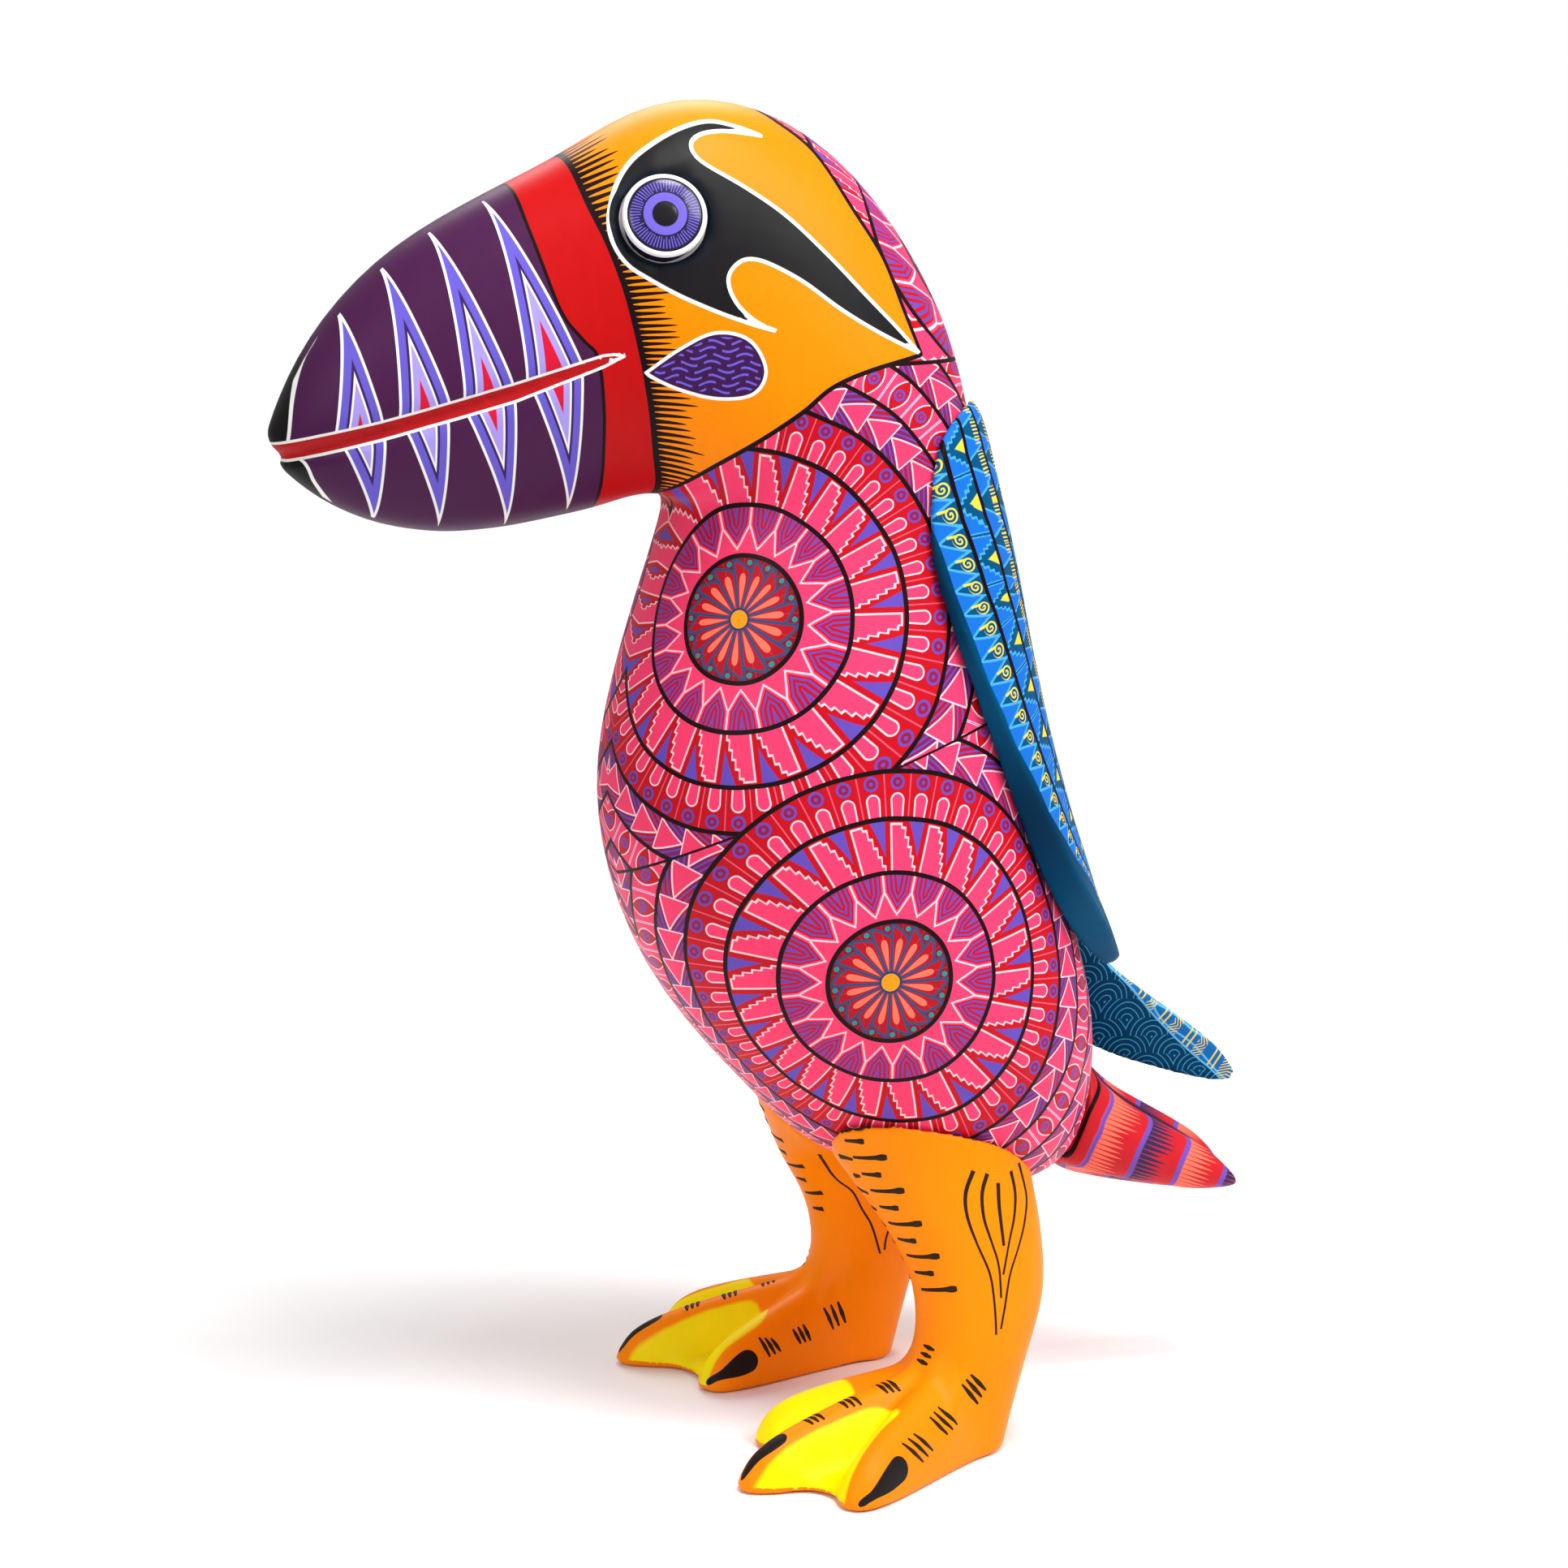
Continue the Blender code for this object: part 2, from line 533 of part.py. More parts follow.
def lathe(name, start, end, profile, sides, mat):
    """Turned solid between two points; profile is (distance along, radius) from the start."""
    axis = (Vector(end) - Vector(start)).normalized()
    aside = axis.cross(Vector((0, 0, 1)) if abs(axis.z) < 0.9 else Vector((0, 1, 0))).normalized()
    across = axis.cross(aside)
    verts = []
    for along, radius in profile:
        for k in range(sides):
            t = 2 * math.pi * k / sides
            verts.append(Vector(start) + axis * along + (aside * math.cos(t) + across * math.sin(t)) * radius)
    faces = []
    for r in range(len(profile) - 1):
        for k in range(sides):
            n = (k + 1) % sides
            faces.append((r * sides + k, r * sides + n, (r + 1) * sides + n, (r + 1) * sides + k))
    faces.append(tuple(range(sides)))
    faces.append(tuple(range((len(profile) - 1) * sides, len(profile) * sides)))
    return add_mesh(name, verts, faces, mat)


def flip(point):
    return (-point[0], point[1], point[2])


def cut(target, cutter):
    cutter.hide_render = True
    cutter.display_type = "WIRE"
    hole = target.modifiers.new(cutter.name, "BOOLEAN")
    hole.operation = "DIFFERENCE"
    hole.solver = "EXACT"
    hole.object = cutter


def dowel(name, ends, radius, mat, targets):
    """A glued dowel and the same hole in every piece it goes through."""
    start = Vector(ends[0])
    end = Vector(ends[1])
    length = (end - start).length
    edge = 0.5
    lathe(name, start, end, [(0, radius - edge), (edge, radius), (length - edge, radius),
                             (length, radius - edge)], PEG_SIDES, mat)
    along = (end - start).normalized()
    for target in targets:
        hole = lathe(name + "_hole_" + target.name, start - along * PEG_PLAY, end + along * PEG_PLAY,
                     [(0, radius + PEG_PLAY), (length + 2 * PEG_PLAY, radius + PEG_PLAY)], PEG_SIDES, mat)
        cut(target, hole)


painted_violet = material("paint_violet_eye", (0.16, 0.10, 0.50), 0.4)
bare_wood = material("bare_wood_dowel", (0.62, 0.44, 0.26), 0.75)
sides = {"left": (left_leg, left_wing), "right": (right_leg, right_wing)}
for side, (leg, wing) in sides.items():
    turn = (lambda p: p) if side == "left" else flip
    middle = Vector(turn(EYE))
    aim = Vector(turn(EYE_AIM)).normalized()
    face = middle - aim * EYE_DEPTH
    floor = face - aim * EYE_THICK
    lathe(side + "_eye", floor, face, [(0, EYE_RADIUS - 0.3), (0.3, EYE_RADIUS), (EYE_THICK - 0.5, EYE_RADIUS),
                                       (EYE_THICK, EYE_RADIUS - 0.6)], EYE_SIDES, painted_violet)
    bottom = floor - aim * 0.3
    depth = EYE_THICK + 0.3
    socket = lathe(side + "_eye_socket", bottom, face,
                   [(0, EYE_RADIUS + 0.3), (depth - 0.4, EYE_RADIUS + 0.3), (depth + 1.2, SOCKET_RIM),
                    (depth + 6.0, SOCKET_RIM + 3.0)], EYE_SIDES, painted_violet)
    cut(body, socket)
    dowel(side + "_leg_dowel", (turn(LEG_PEG[0]), turn(LEG_PEG[1])), LEG_PEG[2], bare_wood, (body, leg))
    for place, (start, end, radius) in WING_PEGS.items():
        dowel(side + "_wing_dowel_" + place, (turn(start), turn(end)), radius, bare_wood, (body, wing))
dowel("tail_dowel", TAIL_PEG[:2], TAIL_PEG[2], bare_wood, (body, tail))
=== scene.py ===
import math

import bmesh
import bpy
import numpy as np
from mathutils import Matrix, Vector


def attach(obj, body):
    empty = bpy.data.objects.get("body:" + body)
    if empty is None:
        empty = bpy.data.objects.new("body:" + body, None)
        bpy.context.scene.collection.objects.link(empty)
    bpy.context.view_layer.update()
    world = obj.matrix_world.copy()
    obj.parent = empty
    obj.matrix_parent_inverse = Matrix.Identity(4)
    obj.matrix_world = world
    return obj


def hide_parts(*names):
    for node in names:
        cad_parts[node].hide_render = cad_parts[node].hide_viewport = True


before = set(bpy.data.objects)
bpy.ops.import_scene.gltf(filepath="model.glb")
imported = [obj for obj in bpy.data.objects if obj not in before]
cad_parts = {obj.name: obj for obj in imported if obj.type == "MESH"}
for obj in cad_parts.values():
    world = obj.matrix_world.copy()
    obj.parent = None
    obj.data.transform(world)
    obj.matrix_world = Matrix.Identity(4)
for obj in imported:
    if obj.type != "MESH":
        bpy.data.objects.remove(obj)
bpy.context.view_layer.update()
MM = 0.001

# ------------------------------------------------------------- the table
# The bird stands alone on a pale table top under broad soft lamps; the eye
# looks a little down on it from its left front.
BREAST = (0, 0, 0.15)
TABLE_RADIUS, TABLE_SIDES = 1.6, 96
FADE_FROM, FADE_TO = 0.28, 0.62
scene = bpy.context.scene
scene.view_settings.view_transform = "Standard"


def aimed(name, data, location, target):
    """Stands a camera or a lamp in the room, looking at the target."""
    thing = bpy.data.objects.new(name, data)
    thing.location = location
    aim = Vector(target) - Vector(location)
    thing.rotation_euler = aim.to_track_quat("-Z", "Y").to_euler()
    scene.collection.objects.link(thing)
    return thing


def soft_lamp(name, location, size, power):
    data = bpy.data.lights.new(name, "AREA")
    data.shape = "DISK"
    data.size = size
    data.energy = power
    aimed(name, data, location, BREAST)


def add(tree, kind, inputs=None, **settings):
    """Adds a node to a tree and links or sets its inputs, called by name or number."""
    node = tree.nodes.new(kind)
    for key, value in settings.items():
        setattr(node, key, value)
    for key, value in (inputs or {}).items():
        value = getattr(value, "socket", value)
        if isinstance(value, bpy.types.NodeSocket):
            tree.links.new(value, node.inputs[key])
        else:
            node.inputs[key].default_value = value
    return node


view = bpy.data.cameras.new("camera")
view.lens = 81.5
view.sensor_width = 36
view.clip_start = 0.05
scene.camera = aimed("camera", view, (0.7403, -0.2724, 0.2869), (0, -0.0029, 0.148))
soft_lamp("lamp_over_right", (0.80, 0.62, 1.10), 0.75, 13)
soft_lamp("lamp_over_left", (0.70, -1.05, 0.75), 0.7, 4.5)
soft_lamp("lamp_overhead", (0.30, 0.10, 1.20), 0.4, 8)
soft_lamp("lamp_behind", (-1.0, 0.2, 1.1), 0.8, 8)

world = bpy.data.worlds.new("studio")
world.use_nodes = True
room = world.node_tree.nodes["Background"]
room.inputs["Color"].default_value = (1, 1, 1, 1)
room.inputs["Strength"].default_value = 0.40
wall = add(world.node_tree, "ShaderNodeBackground", {"Color": (1, 1, 1, 1), "Strength": 1.0})
rays = add(world.node_tree, "ShaderNodeLightPath")
choose = add(world.node_tree, "ShaderNodeMixShader", {
    "Fac": rays.outputs["Is Camera Ray"], 1: room.outputs[0], 2: wall.outputs[0]})
world.node_tree.links.new(choose.outputs[0], world.node_tree.nodes["World Output"].inputs["Surface"])
scene.world = world

turns = [2 * math.pi * k / TABLE_SIDES for k in range(TABLE_SIDES)]
table_verts = [(0, 0, 0)] + [(TABLE_RADIUS * math.cos(t), TABLE_RADIUS * math.sin(t), 0) for t in turns]
table_mesh = bpy.data.meshes.new("table_top")
table_mesh.from_pydata(table_verts, [], [(0, k + 1, (k + 1) % TABLE_SIDES + 1) for k in range(TABLE_SIDES)])
table_top = bpy.data.objects.new("table_top", table_mesh)
scene.collection.objects.link(table_top)
chalk = bpy.data.materials.new("pale_table")
chalk.use_nodes = True
tree = chalk.node_tree
shader = tree.nodes["Principled BSDF"]
shader.inputs["Roughness"].default_value = 0.8
shader.inputs["Specular IOR Level"].default_value = 0.1
place = add(tree, "ShaderNodeTexCoord").outputs["Object"]
reach = add(tree, "ShaderNodeVectorMath", {0: place}, operation="LENGTH")
fade = add(tree, "ShaderNodeMapRange", {
    "Value": reach.outputs["Value"], "From Min": FADE_FROM, "From Max": FADE_TO, "To Min": 1, "To Max": 0},
    interpolation_type="SMOOTHSTEP")
grain = add(tree, "ShaderNodeTexNoise", {"Vector": place, "Scale": 60})
tone = add(tree, "ShaderNodeMix", {
    "A": (0.90, 0.90, 0.90, 1), "B": (0.93, 0.93, 0.92, 1), "Factor": grain.outputs["Fac"]}, data_type="RGBA")
tree.links.new(fade.outputs["Result"], shader.inputs["Alpha"])
tree.links.new(tone.outputs["Result"], shader.inputs["Base Color"])
table_mesh.materials.append(chalk)

# ------------------------------------------------------------ body block
# Head, beak, neck and breast are one block of soft copal wood, carved with
# the knife, sanded round and painted all over by hand with fine brushes.


def sanded(node, grain_size, passes, keep_edges=None):
    """Copy of a carved node with its facets sanded into one even skin; knife edges may stay."""
    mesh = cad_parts[node].data.copy()
    shape = bpy.data.objects.new(node + "_painted", mesh)
    scene.collection.objects.link(shape)
    bm = bmesh.new()
    bm.from_mesh(mesh)
    bmesh.ops.remove_doubles(bm, verts=bm.verts, dist=1e-6)
    bmesh.ops.join_triangles(
        bm, faces=bm.faces, cmp_seam=False, cmp_sharp=False, cmp_uvs=False, cmp_vcols=False,
        cmp_materials=False, angle_face_threshold=0.5, angle_shape_threshold=1.2)
    if keep_edges:
        crease = bm.edges.layers.float.new("crease_edge")
        for edge in bm.edges:
            if edge.calc_face_angle(0) > keep_edges:
                edge[crease] = 0.9
    bm.to_mesh(mesh)
    bm.free()
    round_off = shape.modifiers.new("round_off", "SUBSURF")
    round_off.levels = round_off.render_levels = 1
    skin = shape.modifiers.new("skin", "REMESH")
    skin.mode = "VOXEL"
    skin.voxel_size = grain_size
    skin.adaptivity = 0
    sand = shape.modifiers.new("sand", "SMOOTH")
    sand.factor = 0.5
    sand.iterations = passes
    evaluated = shape.evaluated_get(bpy.context.evaluated_depsgraph_get())
    done = bpy.data.meshes.new_from_object(evaluated)
    shape.modifiers.clear()
    shape.data = done
    done.materials.clear()
    done.polygons.foreach_set("use_smooth", [True] * len(done.polygons))
    done.name = node + "_painted"
    return shape


def points_of(shape):
    places = np.empty(len(shape.data.vertices) * 3)
    shape.data.vertices.foreach_get("co", places)
    return places.reshape(-1, 3) * 1000


def keep(shape, name, values):
    """Stores one number for each point of the skin, for the paint to follow."""
    shape.data.attributes.new(name, "FLOAT", "POINT").data.foreach_set("value", values.astype(np.float32))


def rounded(line, closed=False, steps=6):
    """Smooth curve through the points of a drawn line."""
    line = [np.array(p, float) for p in line]
    count = len(line)
    out = []
    for i in range(count if closed else count - 1):
        if closed:
            a, b, c, d = (line[(i + j) % count] for j in (-1, 0, 1, 2))
        else:
            a, b, c, d = (line[min(max(i + j, 0), count - 1)] for j in (-1, 0, 1, 2))
        for s in range(steps):
            t = s / steps
            out.append(0.5 * (2 * b + (c - a) * t + (2 * a - 5 * b + 4 * c - d) * t * t
                              + (3 * b - a - 3 * c + d) * t ** 3))
    if not closed:
        out.append(line[-1])
    return np.array(out)


def gap_to(points, line, closed=False):
    """Distance to a drawn line; inside a closed outline, or left of an open line, it is negative."""
    ends = np.roll(line, -1, axis=0) if closed else line[1:]
    starts = line if closed else line[:-1]
    best = np.full(len(points), 1e9)
    side = np.zeros(len(points))
    inside = np.zeros(len(points), bool)
    for a, b in zip(starts, ends):
        run = b - a
        rel = points - a
        share = np.clip((rel @ run) / max(run @ run, 1e-12), 0, 1)
        off = rel - share[:, None] * run
        gap = np.sqrt((off * off).sum(1))
        cross = run[0] * rel[:, 1] - run[1] * rel[:, 0]
        near = gap < best - 1e-9
        best = np.where(near, gap, best)
        side = np.where(near, cross, side)
        straddle = (a[1] > points[:, 1]) != (b[1] > points[:, 1])
        if abs(run[1]) > 1e-12:
            inside ^= straddle & (points[:, 0] < a[0] + (points[:, 1] - a[1]) * run[0] / run[1])
    if closed:
        return np.where(inside, -best, best)
    return np.where(side > 0, -best, best)


# Drawn lines of the head, seen square from the side: (y, z) in mm.
FACE_EDGE = (
    rounded([
        (-14.6, 302), (-13.0, 299.2), (-8.0, 294.8), (-1.2, 288.4), (5.2, 276.4), (11.2, 266.0),
        (15.0, 254.5), (18.5, 245.2)]),
    rounded([
        (18.5, 245.2), (5.1, 242.4), (-4.0, 239.0), (-10.4, 234.0), (-18.3, 228.4), (-27.2, 222.3),
        (-34.4, 216.3), (-41.0, 211.5), (-47.0, 206.0)]),
)
FACE_OUTLINE = np.vstack([
    FACE_EDGE[0][:-1], FACE_EDGE[1], [(-140, 190), (-160, 260), (-100, 340), (-20, 340)]])
BAND_REAR = rounded([
    (-54.8, 296), (-54.3, 285.5), (-53.1, 277.6), (-50.3, 269.3), (-47.3, 259.3),
    (-44.5, 247.5), (-41.8, 235.4), (-39.5, 224.8), (-36.5, 216.1), (-34.0, 206)])
BAND_FRONT = rounded([
    (-67.0, 290), (-66.5, 279.9), (-65.4, 271.0), (-61.2, 256.0), (-56.4, 249.3),
    (-53.5, 245.9), (-51.9, 235.6), (-50.9, 225.1), (-49.6, 214.1), (-49.0, 205)])
MOUTH = [(-124.0, 224.0), (-116.0, 226.2), (-97.7, 230.9), (-70.4, 238.7), (-52.3, 245.0), (-47.6, 246.4)]
MOUTH_GAPE = [1.9, 1.9, 1.7, 1.6, 1.0, 0.05]
UPPER_NIB = rounded([
    (-103.0, 264.0), (-106.8, 253.0), (-111.5, 245.0), (-114.2, 237.5), (-115.5, 229.0),
    (-116.5, 220.0)])
LOWER_NIB = rounded([(-116.0, 227.0), (-112.4, 224.1), (-110.0, 219.7), (-105.3, 214.4), (-98.0, 209.0)])
MASK = rounded([
    (-13.8, 291.6), (-18.6, 293.4), (-24.8, 294.6), (-31.5, 293.1), (-38.2, 289.8), (-43.4, 286.0),
    (-47.3, 280.8), (-49.6, 274.6), (-49.4, 269.6), (-46.8, 265.0), (-42.3, 261.9), (-36.2, 258.5),
    (-28.4, 255.1), (-21.2, 252.5), (-15.8, 250.9)])
MASK = np.vstack([MASK, rounded([
    (-15.8, 250.9), (-20.0, 252.8), (-23.7, 256.1), (-25.6, 259.8), (-25.5, 262.8), (-23.4, 265.2),
    (-20.5, 266.0), (-16.2, 264.8), (-9.3, 261.1), (-1.2, 255.3), (7.5, 250.3), (17.9, 245.6)])[1:]])
MASK = np.vstack([MASK, rounded([
    (17.9, 245.6), (12.6, 250.9), (5.1, 258.2), (-3.0, 266.6), (-11.9, 275.0), (-20.0, 280.7), (-27.9, 285.5),
    (-30.2, 288.0), (-29.9, 290.4), (-27.3, 292.0), (-23.1, 292.6), (-18.8, 292.3), (-13.8, 291.6)])[1:-1]])
CHEEK = rounded([
    (-43.4, 242.4), (-36.2, 247.4), (-28.8, 250.7), (-21.7, 249.1), (-18.3, 242.8), (-21.0, 237.7),
    (-28.5, 236.9), (-36.8, 239.1), (-43.3, 242.2)])[:-1]
SPIKES_OVER = [
    ((-103.8, 254.9), (-106.4, 232.2), (-98.1, 234.7)), ((-94.6, 264.4), (-94.1, 235.5), (-84.6, 238.0)),
    ((-84.2, 271.4), (-81.1, 239.3), (-71.3, 241.0)), ((-72.3, 277.6), (-68.1, 242.2), (-57.1, 245.1))]
SPIKES_UNDER = [
    ((-97.4, 211.8), (-105.0, 227.5), (-97.1, 229.5)), ((-84.1, 211.1), (-92.6, 230.6), (-84.4, 232.9)),
    ((-69.4, 210.9), (-80.6, 234.6), (-70.7, 236.5)), ((-56.1, 213.7), (-66.5, 238.1), (-56.7, 241.7))]
# Middles of the painted flowers and of the eye: (x, y, z) in mm.
UPPER_FLOWER = (29.3, -23.9, 190.0)
LOWER_FLOWER = (46.6, 4.7, 111.7)
NAPE_FLOWER = (0.0, 25.0, 262.0)
NAPE_FOOT = 243.5
HEAD_MIDDLE, HEAD_HALF, HAIR_APART = 248.0, 27.0, 1.25
EYE = (24.3, -38.5, 274.6)
EYE_AIM = Vector((0.93, -0.20, 0.30)).normalized()

body = sanded("body_block", 1.1 * MM, 3)
skin = points_of(body)
side_on = skin[:, 1:]
lips = np.vstack([[(y, z + g) for (y, z), g in zip(MOUTH, MOUTH_GAPE)],
                  [(y, z - g) for (y, z), g in zip(MOUTH[::-1], MOUTH_GAPE[::-1])]])
for name, outline in (("face", FACE_OUTLINE), ("mask", MASK), ("cheek", CHEEK), ("lips", lips)):
    keep(body, name, gap_to(side_on, outline, True))
for name, line, way in (("nib_over", UPPER_NIB, 1), ("nib_under", LOWER_NIB, 1),
                        ("band_rear", BAND_REAR, -1), ("band_front", BAND_FRONT, -1)):
    keep(body, name, way * gap_to(side_on, line))
keep(body, "below_mouth", np.interp(skin[:, 1], [p[0] for p in MOUTH], [p[1] for p in MOUTH]) - skin[:, 2])


def math_node(operation):
    """A method that adds one Math node of the given kind."""
    def method(self, *others):
        return self.step(operation, *others)
    return method


class Line:
    """A number that runs over the wood; arithmetic on it adds Math nodes to the paint's node tree."""

    def __init__(self, tree, socket):
        self.tree, self.socket = tree, socket

    def step(self, operation, *others, clamp=False):
        inputs = dict(enumerate((self,) + others))
        node = add(self.tree, "ShaderNodeMath", inputs, operation=operation, use_clamp=clamp)
        return Line(self.tree, node.outputs[0])

    __add__ = __radd__ = math_node("ADD")
    __sub__ = math_node("SUBTRACT")
    __mul__ = math_node("MULTIPLY")
    __truediv__ = math_node("DIVIDE")
    __pow__ = math_node("POWER")
    __abs__ = math_node("ABSOLUTE")
    floor = math_node("FLOOR")
    part = math_node("FRACT")
    low = math_node("MINIMUM")
    high = math_node("MAXIMUM")
    sine = math_node("SINE")
    root = math_node("SQRT")

    def __rsub__(self, other):
        return self.step("MULTIPLY_ADD", -1.0, other)

    def __rtruediv__(self, other):
        return self.step("POWER", -1.0) * other

    def clipped(self):
        return self.step("MULTIPLY", 1.0, clamp=True)

    def under(self, limit, soft=0.10):
        """1 where the number is under the limit, 0 above it, with a soft edge."""
        if isinstance(limit, Line):
            return (limit - self).step("MULTIPLY_ADD", 1 / soft, 0.5, clamp=True)
        return self.step("MULTIPLY_ADD", -1 / soft, limit / soft + 0.5, clamp=True)

    def over(self, limit, soft=0.10):
        if isinstance(limit, Line):
            return (self - limit).step("MULTIPLY_ADD", 1 / soft, 0.5, clamp=True)
        return self.step("MULTIPLY_ADD", 1 / soft, 0.5 - limit / soft, clamp=True)

    def near(self, place, half, soft=0.10):
        return abs(self - place).under(half, soft)


def pigment(red, green, blue):
    """Colour of a dried paint, from its 0-255 values."""
    parts = [v / 255 for v in (red, green, blue)]
    return tuple(v / 12.92 if v <= 0.04045 else ((v + 0.055) / 1.055) ** 2.4 for v in parts) + (1,)


def coats(tree, base, *layers):
    """Coats of paint over a ground; each has a colour, and a mask that is 1 where it covers."""
    for colour, mask in layers:
        under, over = (pigment(*paint) if isinstance(paint, tuple) else paint for paint in (base, colour))
        mix = add(tree, "ShaderNodeMix", data_type="RGBA")
        for name, value in (("A", under), ("B", over), ("Factor", mask.socket)):
            if isinstance(value, tuple):
                mix.inputs[name].default_value = value
            else:
                tree.links.new(value, mix.inputs[name])
        base = mix.outputs["Result"]
    return base


def length_of(tree, *parts):
    join = add(tree, "ShaderNodeCombineXYZ", dict(enumerate(parts)))
    size = add(tree, "ShaderNodeVectorMath", {0: join.outputs[0]}, operation="LENGTH")
    return Line(tree, size.outputs["Value"])


def noise(tree, place, scale, detail=2.0):
    """Soft clouds from 0 to 1."""
    return Line(tree, add(tree, "ShaderNodeTexNoise", {
        "Vector": place, "Scale": scale, "Detail": detail}).outputs["Fac"])


def chance(tree, number):
    """A number from 0 to 1 for each whole number, with no order to it."""
    return Line(tree, add(tree, "ShaderNodeTexWhiteNoise", noise_dimensions="1D", inputs={
        "W": number.floor()}).outputs["Value"])


def new_group(name, inputs, outputs):
    group = bpy.data.node_groups.new(name, "ShaderNodeTree")
    for label, kind, value in inputs:
        socket = group.interface.new_socket(name=label, in_out="INPUT", socket_type="NodeSocket" + kind)
        if value is not None:
            socket.default_value = value
    for label, kind in outputs:
        group.interface.new_socket(name=label, in_out="OUTPUT", socket_type="NodeSocket" + kind)
    return group, group.nodes.new("NodeGroupInput").outputs, group.nodes.new("NodeGroupOutput").inputs


PINK = (246, 62, 108)
RED = (192, 14, 30)
VIOLET = (98, 74, 178)
PLUM = (128, 28, 88)
PALE = (255, 205, 214)
INK = (24, 10, 14)
WHITE = (240, 238, 236)
ORANGE = (255, 142, 0)

# One painted flower: a dot and petals inside four black rings, with arches,
# stepped blocks and finger petals between the rings. Radii are in mm.
RINGS = (13.8, 24.5, 36.2, 46.2)
PETALS, ARCHES, BLOCKS, FINGERS = 16, 20, 24, 45
ARCH_FOOT, STAIRS, FINGER_CAP, RING_DOT = 15.4, 6.0, 40.1, 43.9
flower, given, made = new_group("ringed_flower", [
    ("Distance", "Float", 0), ("Turn", "Float", 0), ("Twist", "Float", 0)], [("Colour", "Color")])
r = Line(flower, given["Distance"])
turn = Line(flower, given["Twist"]) - Line(flower, given["Turn"])


def sectors(turn, r, count, shift=0.0):
    """Place inside one repeat round the ring: share from -0.5 to 0.5, and its width in mm."""
    share = (turn * count + shift).part() - 0.5
    return share, r * (2 * math.pi / count)


share, wide = sectors(turn, r, PETALS)
off_axis = abs(share) * wide
off_seam = (0.5 - abs(share)) * wide
zig = 11.7 - share * 3.0
run = ((r - 2.6) / 7.4).clipped()
petal = (run ** 0.9) * (1 - run ** 7.0).root()
blue_line = (off_seam.under(0.30) * r.under(13.2)).high((r - zig).near(0.0, 0.34))
teal_dot = length_of(flower, (share - 0.27) * wide, r - 12.35).under(0.56)
heart = coats(
    flower, (140, 16, 36), ((178, 16, 34), r.under(zig)), ((250, 116, 92), off_axis.under(petal)),
    ((38, 76, 120), blue_line), ((0, 150, 148), teal_dot), ((40, 60, 96), r.under(2.5)),
    ((252, 152, 20), r.under(2.0)))

share, wide = sectors(turn, r, ARCHES, 0.3)
rise = r - ARCH_FOOT
arch = (rise * (1.9 / 9.2)).clipped() ** 0.75 * 0.5
inset = ((arch - abs(share)) * wide * 0.86).low(rise * 0.6)
inner = coats(flower, RED, (PLUM, (r * 0.21 + share * 2.0).sine().over(0.1, 0.6)),
              (VIOLET, (inset / 0.9).part().under(0.42)))
arches = coats(flower, PINK, (PALE, inset.near(0.0, 0.19)), (inner, inset.over(0.55)))

share, wide = sectors(turn, r, BLOCKS, 0.1)
run = (r - RINGS[1]) / (RINGS[2] - RINGS[1])
climb = run + share * 0.10
edge_in, edge_out = (0.36 - ((climb + early) * STAIRS).floor() * (0.62 / STAIRS) for early in (-0.02, 0.025))
rim_share = 0.20 / wide
in_rim = (share.under(edge_in.high(edge_out) + rim_share, 0.02) * share.over(-0.42 - rim_share, 0.02)
          * r.under(RINGS[2] - 0.85))
in_core = (share.under(edge_in.low(edge_out) - rim_share * 0.3, 0.02) * share.over(-0.42 + rim_share, 0.02)
           * r.under(RINGS[2] - 1.3))
lean = run - 0.34
wedge_between = (share - 0.37 + lean * 0.52).over(0.0, 0.03) * (share - 0.39 - lean * 0.06).under(0.0, 0.03)
blocks = coats(flower, RED, (VIOLET, wedge_between), (PALE, in_rim), (PINK, in_core))

share, wide = sectors(turn, r, FINGERS)
off_axis = abs(share) * wide
off_seam = (0.5 - abs(share)) * wide
cap = length_of(flower, off_axis + (FINGER_CAP - r).high(0.0) * 0.07, (r - FINGER_CAP).high(0.0))
hollow = length_of(flower, off_axis, r - RING_DOT)
fingers = coats(
    flower, RED, ((232, 84, 112), off_seam.under(0.15)), ((150, 22, 60), hollow.under(1.6)),
    (VIOLET, hollow.near(1.36, 0.26).high(hollow.under(0.42))), (PALE, cap.under(1.60)),
    (PINK, cap.under(1.24)))

petals = coats(
    flower, heart, (arches, r.over(RINGS[0])), (blocks, r.over(RINGS[1])), (fingers, r.over(RINGS[2])),
    *((INK, r.near(ring, 0.52)) for ring in RINGS))
flower.links.new(petals, made["Colour"])

# The bands that fill the rest: chains of pink flags, and eye shapes in pink
# boxes, between black arcs that follow the nearest flower.
FLAG_LONG, BAND_WIDE = 7.4, 8.4
filling, given, made = new_group("flag_bands", [
    ("Distance", "Float", 0), ("Run", "Float", 0), ("Width", "Float", BAND_WIDE)], [("Colour", "Color")])
far, run, width = (Line(filling, given[name]) for name in ("Distance", "Run", "Width"))
row = (far / width).floor()
up = (far / width).part()
place = (run + row * 0.37).part()
mid = abs(up - 0.5)
flag = ((1 - place) * 0.46 - mid) * 7.6
chain = coats(
    filling, (178, 18, 44), (PLUM, ((run * 3.1).sine() + (row * 2.3).sine()).over(-0.2, 0.5)),
    (VIOLET, (flag / 1.25).part().under(0.32)), (PINK, flag.over(0.0)),
    (PALE, flag.near(0.0, 0.19).high((place * FLAG_LONG).under(0.32) * mid.under(0.45))))
off_middle = abs(place - 0.5) * FLAG_LONG
lens = (1 - (mid * 2.0) ** 2.0) * 2.1 - off_middle
